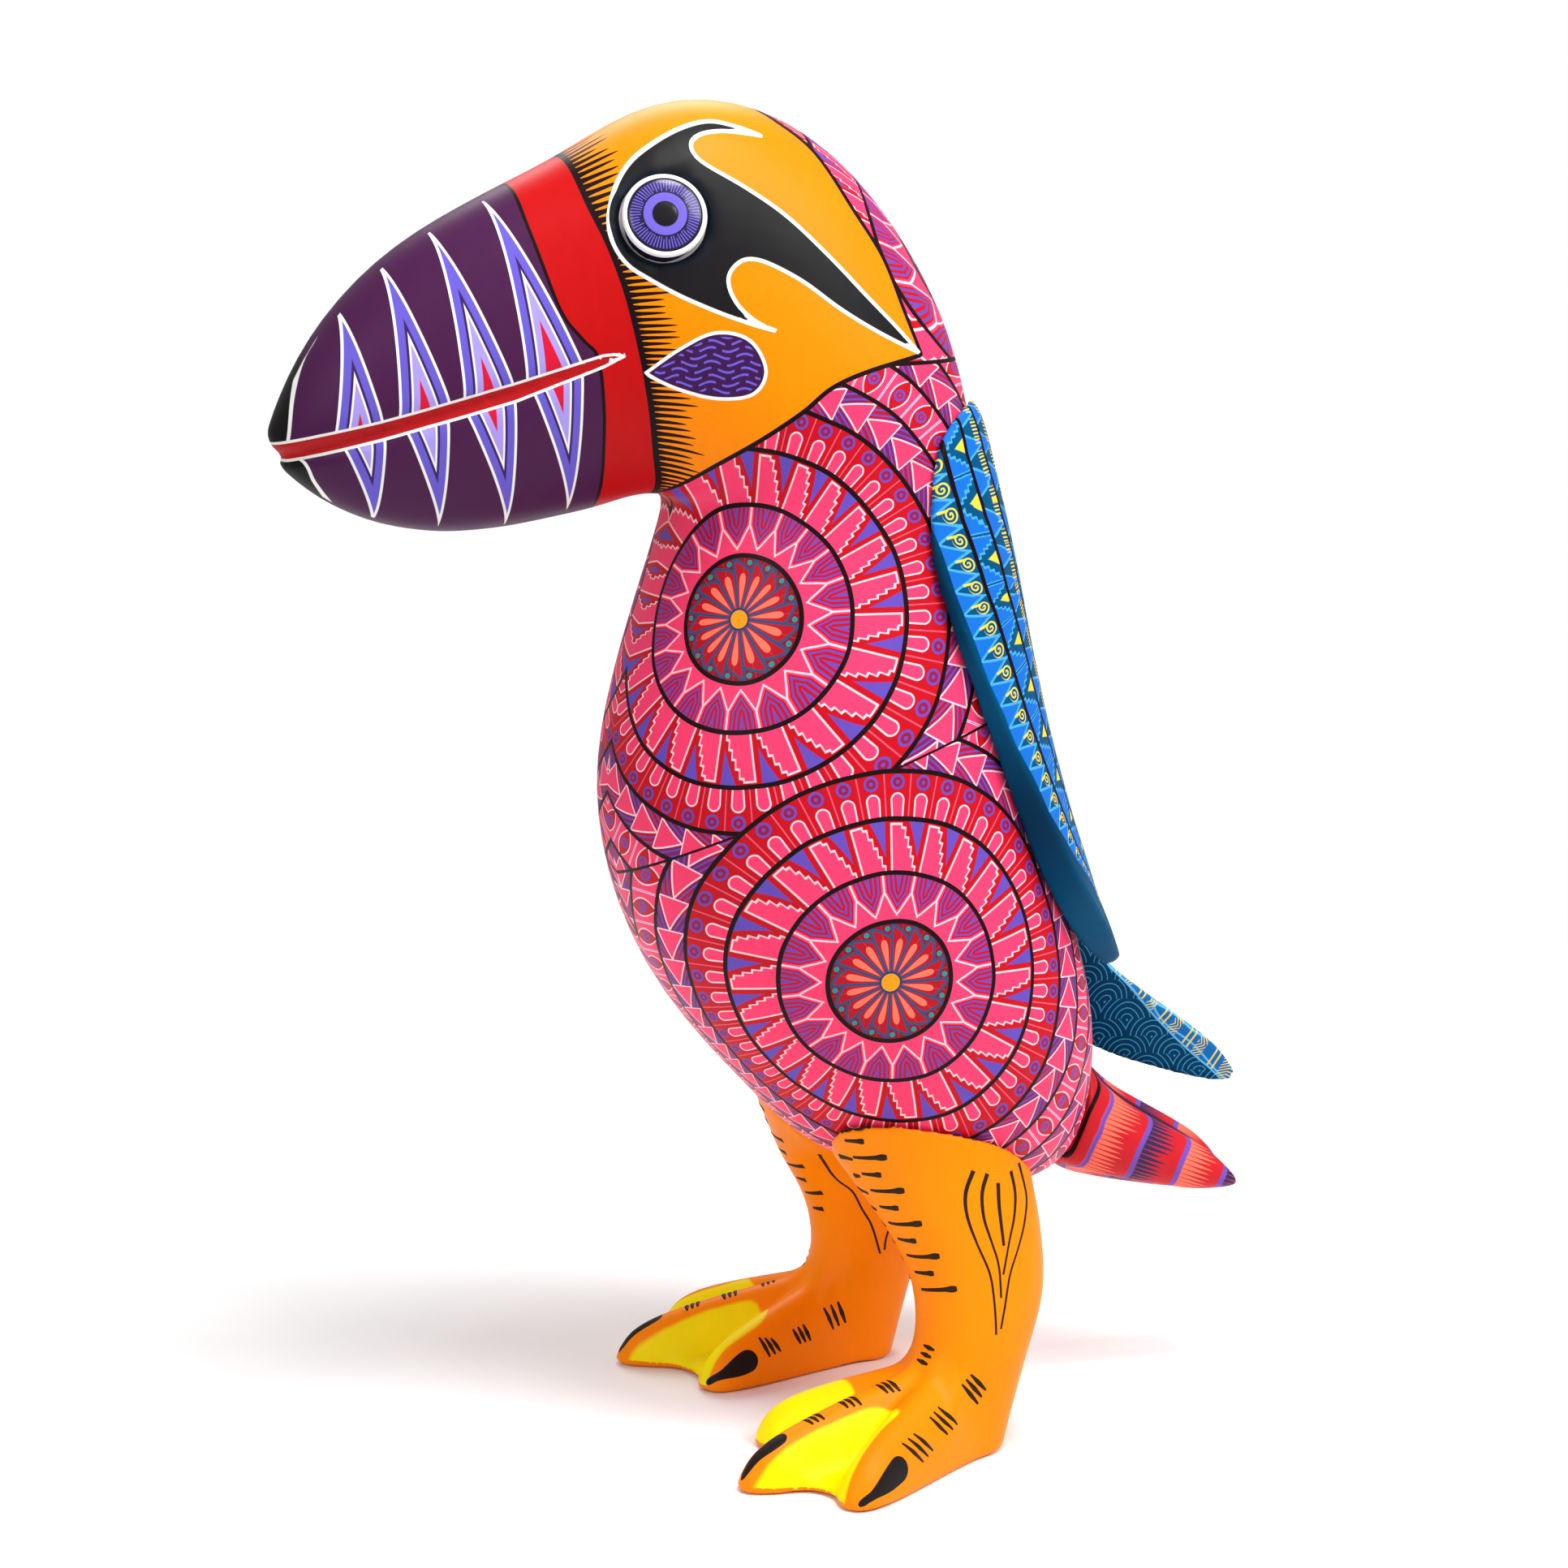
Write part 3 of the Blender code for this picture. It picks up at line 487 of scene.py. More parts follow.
dot = length_of(filling, (place - 0.5) * FLAG_LONG, (up - 0.5) * BAND_WIDE)
boxes = coats(
    filling, PINK, (PALE, lens.near(0.0, 0.19).high(off_middle.over(3.45))), (RED, lens.over(0.19)),
    (VIOLET, dot.near(1.1, 0.28).high(dot.under(0.35))), (VIOLET, off_middle.over(3.62)))
bands = coats(filling, chain, (boxes, (row * 0.5).part().over(0.25)), (INK, mid.over(0.442, 0.012)))
filling.links.new(bands, made["Colour"])

# Dried brush paint: faint strokes, small ridges and uneven shine.
brushed, given, made = new_group(
    "brushed_paint", [("Colour", "Color", None), ("Streaks", "Float", 0.06), ("Ridges", "Float", 0.5)],
    [("Colour", "Color"), ("Roughness", "Float"), ("Height", "Float")])
place = add(brushed, "ShaderNodeTexCoord").outputs["Object"]
flow = add(brushed, "ShaderNodeMapping", {"Vector": place, "Scale": (1.0, 1.0, 0.35)})
fine = noise(brushed, flow.outputs[0], 420, 3)
broad = noise(brushed, place, 45)
value = ((fine - 0.5) * 1.6 + (broad - 0.5)) * Line(brushed, given["Streaks"]) + 1.0
bright = add(brushed, "ShaderNodeHueSaturation", {"Color": given["Colour"], "Value": value})
brushed.links.new(bright.outputs["Color"], made["Colour"])
brushed.links.new((fine * 0.10 + broad * 0.14 + 0.30).socket, made["Roughness"])
brushed.links.new((fine * Line(brushed, given["Ridges"]) + broad * 0.6).socket, made["Height"])


def start_paint(name):
    paint = bpy.data.materials.new(name)
    paint.use_nodes = True
    return paint, paint.node_tree


def attribute(tree, name):
    return Line(tree, add(tree, "ShaderNodeAttribute", attribute_name=name).outputs["Fac"])


def object_place(tree):
    """Places in mm as three numbers, the first from the middle plane outwards, and their socket."""
    place = add(tree, "ShaderNodeTexCoord").outputs["Object"]
    x, y, z = (Line(tree, s) / MM for s in add(tree, "ShaderNodeSeparateXYZ", {0: place}).outputs)
    return abs(x), y, z, place


def unsteady(tree, place, scale, size):
    """Slow drift of a hand-drawn line, in mm."""
    return (noise(tree, place, scale, 1) - 0.5) * (2.0 * size)


def finish_paint(tree, colour, streaks=0.06, ridges=0.5, raised=None, shine=0.1):
    """Ends a paint: brush streaks in its colour, uneven shine, and ridges that catch the light."""
    shader = tree.nodes["Principled BSDF"]
    brush = add(tree, "ShaderNodeGroup", node_tree=brushed, inputs={
        "Colour": colour, "Streaks": streaks, "Ridges": ridges})
    height = Line(tree, brush.outputs["Height"]) * 0.35
    if raised is not None:
        height = height + raised
    bump = add(tree, "ShaderNodeBump", {"Height": height, "Strength": 0.25, "Distance": 0.12 * MM})
    tree.links.new(brush.outputs["Colour"], shader.inputs["Base Color"])
    tree.links.new(brush.outputs["Roughness"], shader.inputs["Roughness"])
    tree.links.new(bump.outputs["Normal"], shader.inputs["Normal"])
    shader.inputs["Specular IOR Level"].default_value = shine


block_paint, tree = start_paint("painted_block_colours")
x, y, z, place = object_place(tree)
drift = unsteady(tree, place, 60, 0.55)


def flower_place(centre, across, upward):
    """Distance from a flower's middle in mm, and the turn round it from 0 to 1."""
    dx, dy, dz = x - centre[0], y - centre[1], z - centre[2]
    flat, tall = (dx * way[0] + dy * way[1] + dz * way[2] for way in (across, upward))
    return length_of(tree, dx, dy, dz) + drift, tall.step("ARCTAN2", flat) / (2 * math.pi) + 0.5


def lay_flower(base, distance, turn, twist):
    node = add(tree, "ShaderNodeGroup", node_tree=flower, inputs={
        "Distance": distance, "Turn": turn, "Twist": twist})
    return coats(tree, base, (node.outputs["Colour"], distance.under(RINGS[3] + 0.5)))


def lay_bands(distance, run, width):
    node = add(tree, "ShaderNodeGroup", node_tree=filling, inputs={
        "Distance": distance, "Run": run, "Width": width})
    return node.outputs["Colour"]


def ring_run(far, turn):
    """Repeats along a ring beyond the flower, each about a flag long, a whole number round the ring."""
    ring = ((far - RINGS[3]) / BAND_WIDE).floor() * BAND_WIDE + (RINGS[3] + BAND_WIDE / 2)
    return turn * (ring * (2 * math.pi / FLAG_LONG)).step("ROUND")


high_far, high_turn = flower_place(UPPER_FLOWER, (0.45, 0.89, 0), (-0.2, -0.1, 0.97))
low_far, low_turn = flower_place(LOWER_FLOWER, (0.1, 0.99, 0), (-0.15, 0.0, 0.99))
nape_far, nape_turn = flower_place(NAPE_FLOWER, (1, 0, 0), (0, 0.25, 0.97))
high_bands = lay_bands(high_far - RINGS[3], ring_run(high_far, high_turn), BAND_WIDE)
low_bands = lay_bands(low_far - RINGS[3], ring_run(low_far, low_turn), BAND_WIDE)
closer = high_far - low_far
face = attribute(tree, "face")
nape = lay_bands(face + drift - 0.4, z / FLAG_LONG + x * 0.02, 6.4)
nape = lay_flower(nape, nape_far * 0.9, nape_turn, 0.01)
colour = coats(
    tree, low_bands, (high_bands, closer.under(0.0)), (INK, closer.near(0.0, 0.45)),
    (nape, z.over(NAPE_FOOT)), (INK, z.near(NAPE_FOOT, 0.45)))
colour = lay_flower(colour, high_far, high_turn, 0.02)
colour = lay_flower(colour, low_far, low_turn, 0.0)

# The orange face, the black hairs that lie on it, the red strip and the beak.
orange = coats(tree, ORANGE, ((252, 130, 0), noise(tree, place, 30)))
rear = attribute(tree, "band_rear")
front = attribute(tree, "band_front")
around = x.step("ARCTAN2", z - HEAD_MIDDLE) * HEAD_HALF
tuft = around / HAIR_APART
straw = chance(tree, tuft)
reach = straw * 3.8 + 6.2
lean = (straw * 37.0).part() - 0.5
thin = (1 - (rear / reach)).high(0.0).root() * 0.38 + (1 - rear * 0.5).high(0.0) * 0.12
hair = abs((tuft + rear * 0.02 * lean).part() - 0.5).under(thin, 0.08) * rear.under(reach)
colour = coats(
    tree, colour, (orange, face.under(0.0)), (INK, face.near(0.0, 0.5)),
    (INK, hair * face.under(0.0) * rear.over(0.0)), ((188, 12, 14), rear.under(0.0) * face.under(4.0)),
    ((72, 28, 70), front.under(0.0)),
    (INK, rear.near(0.0, 0.62).high(front.near(0.0, 0.36)) * face.under(1.0)))


def wedge(spike):
    """How far a point is outside the two long sides of a painted spike."""
    tip, left, right = (np.array(p) for p in spike)
    sides = []
    for a, b in ((tip, left), (tip, right)):
        other = right if b is left else left
        normal = np.array([-(b - a)[1], (b - a)[0]])
        normal /= np.linalg.norm(normal)
        if normal @ (other - a) > 0:
            normal = -normal
        sides.append(y * float(normal[0]) + z * float(normal[1]) - float(normal @ a))
    return sides[0].high(sides[1])


def nearest(spikes):
    best = wedge(spikes[0])
    for spike in spikes[1:]:
        best = best.low(wedge(spike))
    return best


FAR_OFF = 50.0
below = attribute(tree, "below_mouth")
over = nearest(SPIKES_OVER) + below.over(0.0) * FAR_OFF
under = nearest(SPIKES_UNDER) + below.under(0.0) * FAR_OFF
spike = over.low(under).high((5.0 - x) * 2.0) + drift * 0.15
nib_over = attribute(tree, "nib_over")
nib_under = attribute(tree, "nib_under")
upper, lower, at_tip = below.under(0.0), below.over(0.0), y.under(-92.0)
nib = (nib_over.over(0.0) * upper).high(nib_under.over(0.0) * lower) * at_tip
nib_line = (nib_over.near(0.0, 0.3) * upper).high(nib_under.near(0.0, 0.3) * lower) * at_tip
lips = attribute(tree, "lips")
lip_line = (lips + drift * 0.2).near(0.2, 0.29)
colour = coats(
    tree, colour, ((104, 90, 200), spike.under(-0.2)), ((60, 34, 96), spike.under(-1.75)),
    ((168, 152, 230), spike.under(-2.45)), ((214, 24, 56), spike.under(-3.95)),
    (WHITE, spike.near(0.0, 0.27).high(spike.near(-2.45, 0.2))), ((22, 18, 20), nib),
    (WHITE, nib_line * x.over(3.0, 0.4)), ((176, 22, 26), lips.under(0.0)), (WHITE, lip_line))

# The black mask, the violet drop on the cheek, and the paint round the eye.
mask = attribute(tree, "mask") + drift * 0.12
cheek = attribute(tree, "cheek") + drift * 0.12
wave = ((y * 0.9).sine() * 0.5 + z) / 1.45
dash = wave.part().near(0.5, 0.17, 0.06) * ((y + wave.floor() * 2.9) / 4.8).part().under(0.72, 0.05)
drop_colour = coats(tree, (60, 26, 76), ((110, 88, 204), dash * cheek.under(-0.9)))
ex, ey, ez = x - EYE[0], y - EYE[1], z - EYE[2]
along = ex * EYE_AIM.x + ey * EYE_AIM.y + ez * EYE_AIM.z
eye_far = ((ex ** 2.0 + ey ** 2.0 + ez ** 2.0) - along ** 2.0).high(0.0).root() + drift * 0.5
colour = coats(
    tree, colour, ((26, 24, 26), mask.under(0.0)), (WHITE, mask.near(0.0, 0.42)),
    (drop_colour, cheek.under(0.0)), (WHITE, cheek.near(0.0, 0.36)), ((20, 26, 34), eye_far.under(11.4)),
    (WHITE, eye_far.near(8.7, 0.55)), ((30, 22, 60), eye_far.under(7.95)))
raised = lip_line.high(mask.near(0.0, 0.55)).high(spike.near(0.0, 0.34)) * 1.5
finish_paint(tree, colour, streaks=0.07, raised=raised)
body.data.materials.append(block_paint)
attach(body, "root")
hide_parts("body_block")

# ---------------------------------------------------------------- wings
# Two thin folded wings are carved apart and pegged against the back; the
# right one is longer and its lower end flares out behind the bird.
# The wing's front edge, the flared end's upper edge and where its round tip
# starts: (x, y, z) in mm.
WING_LINE = rounded([
    (26, 8.0, 236.0), (33.0, 14.0, 222.0), (36.0, 18.1, 210.4), (38.4, 20.1, 200.1),
    (40.1, 22.3, 189.7), (39.5, 26.4, 177.0), (38.6, 31.2, 164.2), (38.2, 35.9, 153.1),
    (37.1, 39.8, 143.6), (35.7, 44.1, 134.0), (34.2, 48.8, 126.0), (31.8, 53.9, 119.6),
    (26.0, 64.0, 108.0), (20.0, 76.0, 90.0), (15.0, 100.0, 66.0)], steps=4)
FLARE_EDGE = rounded([
    (17.5, 76.0, 105.0), (14.8, 84.0, 98.0), (14.6, 92.7, 90.4), (13.6, 101.1, 81.9),
    (12.9, 109.6, 75.2), (12.1, 118.1, 69.6)], steps=4)
TIP_FROM, TIP_LONG = 110.5, 8.2
# How far behind the line, in mm at each height, the plain front strip ends
# and the first three black lines run.
ROW_HEIGHTS = (118, 133, 140, 146, 157, 168, 179, 190, 200, 210, 216, 224, 231, 236)
PLAIN_TO = (11.4, 7.9, 6.9, 5.9, 4.6, 3.9, 2.5, 1.7, 0.3, -1.0, -1.4, -1.4, -1.4, -1.4)
FIRST_LINE = (13.0, 10.9, 10.9, 10.6, 10.1, 10.1, 10.5, 10.6, 9.0, 7.2, 7.5, 8.6, 10.5, 12.0)
SECOND_LINE = (18.5, 17.4, 17.4, 17.3, 17.4, 17.4, 18.3, 18.2, 17.2, 14.6, 14.3, 14.5, 16.3, 18.0)
THIRD_LINE = (26.0, 25.0, 25.0, 25.0, 25.0, 25.0, 26.0, 26.5, 26.0, 23.3, 22.5, 21.6, 22.4, 24.0)


def follow(points, line):
    """Distance to a line in space and how far along it the nearest place is, both in mm."""
    best = np.full(len(points), 1e9)
    run = np.zeros(len(points))
    gone = 0.0
    for a, b in zip(line[:-1], line[1:]):
        step = b - a
        length = math.sqrt(step @ step)
        share = np.clip(((points - a) @ step) / max(length * length, 1e-9), 0, 1)
        off = points - a - share[:, None] * step
        gap = np.sqrt((off * off).sum(1))
        near = gap < best
        best = np.where(near, gap, best)
        run = np.where(near, gone + share * length, run)
        gone += length
    return best, run


wing_paint, tree = start_paint("painted_wing_blues")
_, y, z, place = object_place(tree)
drift = unsteady(tree, place, 70, 0.35)
BLUE = (24, 108, 204)
DEEP = (0, 78, 122)
SKY = (70, 164, 232)
YELLOW = (238, 208, 62)
ROW_WIDE = 7.2
LEAF_PITCH, STAIR_PITCH, TRIANGLE_PITCH, COIL_PITCH = 5.4, 11.6, 7.4, 0.95
down = attribute(tree, "down_wing")
t = attribute(tree, "row_across") + drift / ROW_WIDE

# first row: pointed leaves with a yellow spiral between each two
p = (down / LEAF_PITCH).part() - 0.5
leaf = (t * 1.15).clipped() ** 0.8 * 0.5 - abs(p)
sx, sy = (t - 0.66) * ROW_WIDE, p * LEAF_PITCH
spiral_far = length_of(tree, sx, sy)
spiral_turn = sy.step("ARCTAN2", sx) / (2 * math.pi)
coil = (spiral_far / COIL_PITCH - spiral_turn).part().near(0.5, 0.20, 0.08) * spiral_far.under(1.75)
stroke = abs(sy + 1.0).under(0.28) * sx.near(-1.5, 1.2)
first = coats(tree, BLUE, (DEEP, leaf.over(0.0, 0.03)), (SKY, leaf.near(0.0, 0.055, 0.02)),
              (YELLOW, coil.high(stroke)))

# second row: stairs up and down, with a yellow triangle in each hollow
p = abs((down / STAIR_PITCH).part() - 0.5)
over = t - 1.0
stair, late_stair = (((over + late) * 5.0).floor() * 0.08 + 0.06 for late in (0.0, 0.04))
gold = ((over - 0.45) * 0.30 - p).over(0.0, 0.02) * over.under(0.92, 0.02)
second = coats(
    tree, DEEP, (SKY, p.over(stair - 0.025, 0.01)), (BLUE, p.over(stair.high(late_stair) + 0.02, 0.01)),
    (SKY, p.over(0.462, 0.01)), (DEEP, p.over(0.482, 0.01)), (YELLOW, gold))

# the rows behind: triangles, with combs of yellow bars
p = (down / TRIANGLE_PITCH).part()
over = (t - 2.0).part()
triangle = (1 - over * 1.05) * 0.40 - abs(p - 0.45)
between = (p - 0.45).under(-0.02).high((p - 0.45).over(0.2))
bars = ((p + 0.05) * 9.0).part().under(0.42, 0.08) * over.near(0.74, 0.17, 0.03) * between
third = coats(tree, DEEP, (BLUE, triangle.over(0.0, 0.02)), (SKY, triangle.near(0.0, 0.04, 0.015)),
              (YELLOW, bars))

line_wide = abs((t + 0.5).part() - 0.5) * ROW_WIDE
soft_blue = coats(tree, (0, 52, 84), ((0, 78, 116), (z * 0.12).sine().over(0.0, 2.0)))
blue_rows = coats(tree, first, (second, t.over(1.0, 0.01)), (third, t.over(2.0, 0.01)),
                  (INK, line_wide.under(0.56) * t.over(0.5)), (soft_blue, t.under(0.0, 0.02)))

# Nests of thin arcs cover the inside of the flared end; its upper edge has a
# strip of light blue leaves, yellow dashes and little yellow boxes.
NEST_TALL, NEST_WIDE, NEST_SHIFT, NEST_RADIUS, ARC_PITCH = 4.6, 13.0, 6.1, 7.4, 1.35
wave_y, wave_z = y + unsteady(tree, place, 45, 3.0), z + unsteady(tree, place, 38, 3.0)
nests = None
for above in (3.0, 2.0, 1.0, 0.0):
    row = (wave_z / NEST_TALL).floor() + above
    off = ((wave_y + row * NEST_SHIFT) / NEST_WIDE).part() - 0.5
    gap = length_of(tree, off * NEST_WIDE, wave_z - row * NEST_TALL + 0.4)
    arcs = coats(tree, (0, 56, 92), ((52, 146, 188), (gap / ARC_PITCH).part().under(0.2, 0.06)))
    nests = coats(tree, nests, (arcs, gap.under(NEST_RADIUS))) if nests else arcs
edge_run = attribute(tree, "edge_run")
edge_in = attribute(tree, "edge_in")
box = (edge_run / 8.6 + 0.3).part()
leaf_line = ((edge_run / 3.1).sine() * 0.6 + edge_in + 1.6).near(0.0, 0.28)
dashes = ((edge_run + edge_in * 0.8) / 0.8).part().under(0.35, 0.08) * box.near(0.62, 0.15, 0.02)
boxes = box.near(0.2, 0.11, 0.02) * (1 - box.near(0.2, 0.06, 0.02))
strip = coats(tree, (22, 104, 176), ((96, 182, 226), leaf_line.high(edge_in.near(-0.2, 0.3))),
              (YELLOW, dashes.high(boxes) * edge_in.under(-0.5)))
nests = coats(tree, nests, (strip, edge_in.under(0.0)))
colour = coats(tree, blue_rows, (nests, attribute(tree, "inside_flare").over(0.5)))
finish_paint(tree, colour, streaks=0.06, ridges=0.4, shine=0.05)

for node in ("left_wing", "right_wing"):
    wing = sanded(node, 0.7 * MM, 2, keep_edges=0.55)
    spot = points_of(wing)
    if node == "right_wing":
        # the flared end is sanded to a round tip
        share = np.clip((spot[:, 1] - TIP_FROM) / TIP_LONG, 0, 0.985)
        level = np.interp(spot[:, 1], [110, 118.6], [71.0, 66.2])
        spot[:, 2] = level + (spot[:, 2] - level) * np.sqrt(1 - share ** 3)
        wing.data.vertices.foreach_set("co", (spot * MM).ravel())
        wing.data.update()
    spot[:, 0] = np.abs(spot[:, 0])
    gap, run = follow(spot, FLARE_EDGE)
    keep(wing, "edge_run", run)
    keep(wing, "edge_in", gap - np.interp(spot[:, 1], [70, 85, 100, 112, 118], [0.4, 1.2, 2.4, 4.2, 6.0]))
    gap, run = follow(spot, WING_LINE)
    ahead = gap_to(spot[:, 1:], WING_LINE[:, 1:]) > 0
    behind = np.where(ahead, -gap, gap)
    starts, first_line, second_line, third_line = (
        np.interp(spot[:, 2], ROW_HEIGHTS, row) for row in (PLAIN_TO, FIRST_LINE, SECOND_LINE, THIRD_LINE))
    rows = np.where(behind < first_line, (behind - starts) / (first_line - starts), np.where(
        behind < second_line, 1 + (behind - first_line) / (second_line - first_line),
        2 + (behind - second_line) / (third_line - second_line)))
    keep(wing, "row_across", rows)
    keep(wing, "down_wing", run)
    facing = np.empty(len(wing.data.vertices) * 3)
    wing.data.vertices.foreach_get("normal", facing)
    facing = facing.reshape(-1, 3)
    flare = (facing[:, 0] > 0.1) & (spot[:, 2] < 124) if node == "right_wing" else np.zeros(len(spot))
    keep(wing, "inside_flare", flare.astype(float))
    wing.data.materials.append(wing_paint)
    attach(wing, "root")
    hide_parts(node)

# ----------------------------------------------------------------- tail
# The tail is a separate three-lobed wedge, glued and pegged into the rump
# and painted red with feather fringes hanging from violet arcs.
TAIL_DOWN, TAIL_BACK = 0.425, 0.905
TIER_LONG, QUILLS_APART = 11.8, 1.05
tail_paint, tree = start_paint("painted_tail_reds")
_, y, z, place = object_place(tree)
drift = unsteady(tree, place, 70, 0.4)
back = y * TAIL_BACK - z * TAIL_DOWN + drift - abs(attribute(tree, "lobe")) * 2.0
tier = (back - 35.5) / TIER_LONG
row = tier.floor()
step = tier.part()
quill = attribute(tree, "round_tail") / QUILLS_APART
both = add(tree, "ShaderNodeCombineXYZ", {0: quill.floor(), 1: row})
straw = add(tree, "ShaderNodeTexWhiteNoise", noise_dimensions="2D", inputs={"Vector": both.outputs[0]})
reach = Line(tree, straw.outputs["Value"]) * 0.25 + 0.62
barb = abs(quill.part() - 0.5).under((1 - (step / reach) ** 2.0) * 0.46, 0.08) * step.under(reach, 0.02)
salmon = (row * 0.5).part().under(0.25) * row.under(2.5)
fringe = coats(tree, (44, 42, 84), ((240, 112, 88), salmon))
# The dark plum along the grooves between the lobes on top is painted shade in the creases.
colour = coats(
    tree, (196, 30, 40), (fringe, barb * tier.over(0.0)),
    ((112, 76, 170), step.under(0.12, 0.02) * tier.over(0.0)),
    ((58, 22, 52), attribute(tree, "groove_shade").over(0.5, 0.5)), (INK, back.near(31.8, 0.6)))
finish_paint(tree, colour, streaks=0.08)

tail = sanded("tail", 0.6 * MM, 3)
spot = points_of(tail)
middle_y = np.interp(spot[:, 1], [65, 110], [65, 110])
middle_z = np.interp(spot[:, 1], [65, 110], [66, 46])
across_tail = np.arctan2(
    spot[:, 0], (spot[:, 2] - middle_z) * TAIL_BACK + (spot[:, 1] - middle_y) * TAIL_DOWN)
on_top = spot[:, 2] > np.interp(spot[:, 1], [65, 110], [66, 47])
keep(tail, "lobe", np.cos(spot[:, 0] / 14.0 * math.pi * 1.5))
keep(tail, "round_tail", across_tail * 12.0)
# Weight of the painted shade in the creases between the lobes, strongest along each groove on top.
keep(tail, "groove_shade", np.exp(-((np.abs(spot[:, 0]) - 4.6) / 1.2) ** 2) * on_top)
tail.data.materials.append(tail_paint)
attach(tail, "root")
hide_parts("tail")

# ----------------------------------------------------------------- legs
# Each leg with its flat webbed foot is one piece, glued and pegged under the
# body; orange all over, webs yellow, toenails and bars in black.
WEBS = (
    rounded([
        (43.0, 4.6), (49.0, 6.0), (51.2, 4.6), (53.4, 0.6), (58.0, -5.5), (61.6, -10.0), (63.5, -14.0),
        (57.0, -16.5), (53.0, -19.5), (50.5, -27.0), (48.0, -32.0), (47.8, -25.0), (46.0, -17.4),
        (44.3, -8.4)], True),
    rounded([
        (34.5, 2.6), (26.5, 2.4), (22.8, -0.4), (20.7, -5.2), (19.2, -10.7), (17.6, -17.5), (25.0, -18.5),
        (33.0, -20.5), (38.0, -27.0), (41.5, -32.0), (40.0, -23.0), (38.7, -14.6), (37.4, -6.7)], True),
)
NAILS = (((43.9, -20.4, 11.2), (44.9, -30.2, 3.0), 2.1, 0.9), ((60.8, 1.6, 6.9), (66.0, -9.8, 1.9), 2.9, 0.5),
         ((17.0, -5.8, 6.8), (17.2, -16.4, 2.4), 2.7, 0.5))

leg_paint, tree = start_paint("painted_leg_orange")
place = add(tree, "ShaderNodeTexCoord").outputs["Object"]
drift = unsteady(tree, place, 110, 0.5)
orange = coats(tree, ORANGE, ((246, 128, 0), noise(tree, place, 26)))
web = attribute(tree, "web") + drift * 0.7
nail = attribute(tree, "nail") + drift * 0.2
colour = coats(tree, orange, ((250, 228, 0), web.under(0.0, 0.7)), ((30, 24, 24), nail.under(0.0, 0.08)))
finish_paint(tree, colour, streaks=0.06)

legs = {}
for node in ("left_leg", "right_leg"):
    leg = sanded(node, 0.75 * MM, 4)
    spot = points_of(leg)
    plan = np.column_stack([np.abs(spot[:, 0]), spot[:, 1]])
    web = np.minimum(gap_to(plan, WEBS[0], True), gap_to(plan, WEBS[1], True))
    web = np.where((spot[:, 2] < 1.2) | (spot[:, 2] > 22), 5.0, web)
    keep(leg, "web", web)
    nail = np.full(len(spot), 9.0)
    solid = np.column_stack([np.abs(spot[:, 0]), spot[:, 1:]])
    for root, tip, wide_end, narrow_end in NAILS:
        root, tip = np.array(root), np.array(tip)
        run = tip - root
        share = np.clip(((solid - root) @ run) / (run @ run), 0, 1)
        off = solid - root - share[:, None] * run
        half = wide_end + (narrow_end - wide_end) * share ** 1.4
        nail = np.minimum(nail, np.sqrt((off * off).sum(1)) - half)
    keep(leg, "nail", nail)
    leg.data.materials.append(leg_paint)
    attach(leg, "root")
    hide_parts(node)
    legs[node] = leg

# ------------------------------------------------------- marks on the legs
# Bars, flames and triple dashes are single pulls of a loaded brush: thin
# ridges of black paint that lie on the orange and taper as the brush lifts.
# Each mark is a list of points and the brush's width, in mm, at each of them.
OUTER_BARS, INNER_BARS = 11, 8
marks = []
for k in range(OUTER_BARS):
    pull = 1.0 if k % 2 == 0 else 0.62
    px, py, pz = 26.9 + 0.85 * k, -0.5 + 1.75 * k, 75.6 - 3.75 * k
    points = [(px + 6.2 * pull * s, py + 5.9 * pull * s, pz + (1.8 - 0.4 * s) * pull * s)
              for s in (0.0, 0.35, 0.7, 0.88, 1.0)]
    marks.append((points, (0.34, 0.42, 0.52, 0.86 if pull == 1 else 0.74, 0.55)))
for k in range(INNER_BARS):
    pull = 1.0 if k % 2 == 0 else 0.5
    px, py, pz = 29.3, 0.4 + 2.05 * k, 66.5 - 4.0 * k
    points = [(px, py, pz), (px - 3.0 * pull, py + 0.6, pz + 0.2), (px - 6.4 * pull, py + 1.6, pz + 0.4)]
    marks.append((points, (0.34, 0.5, 0.7)))
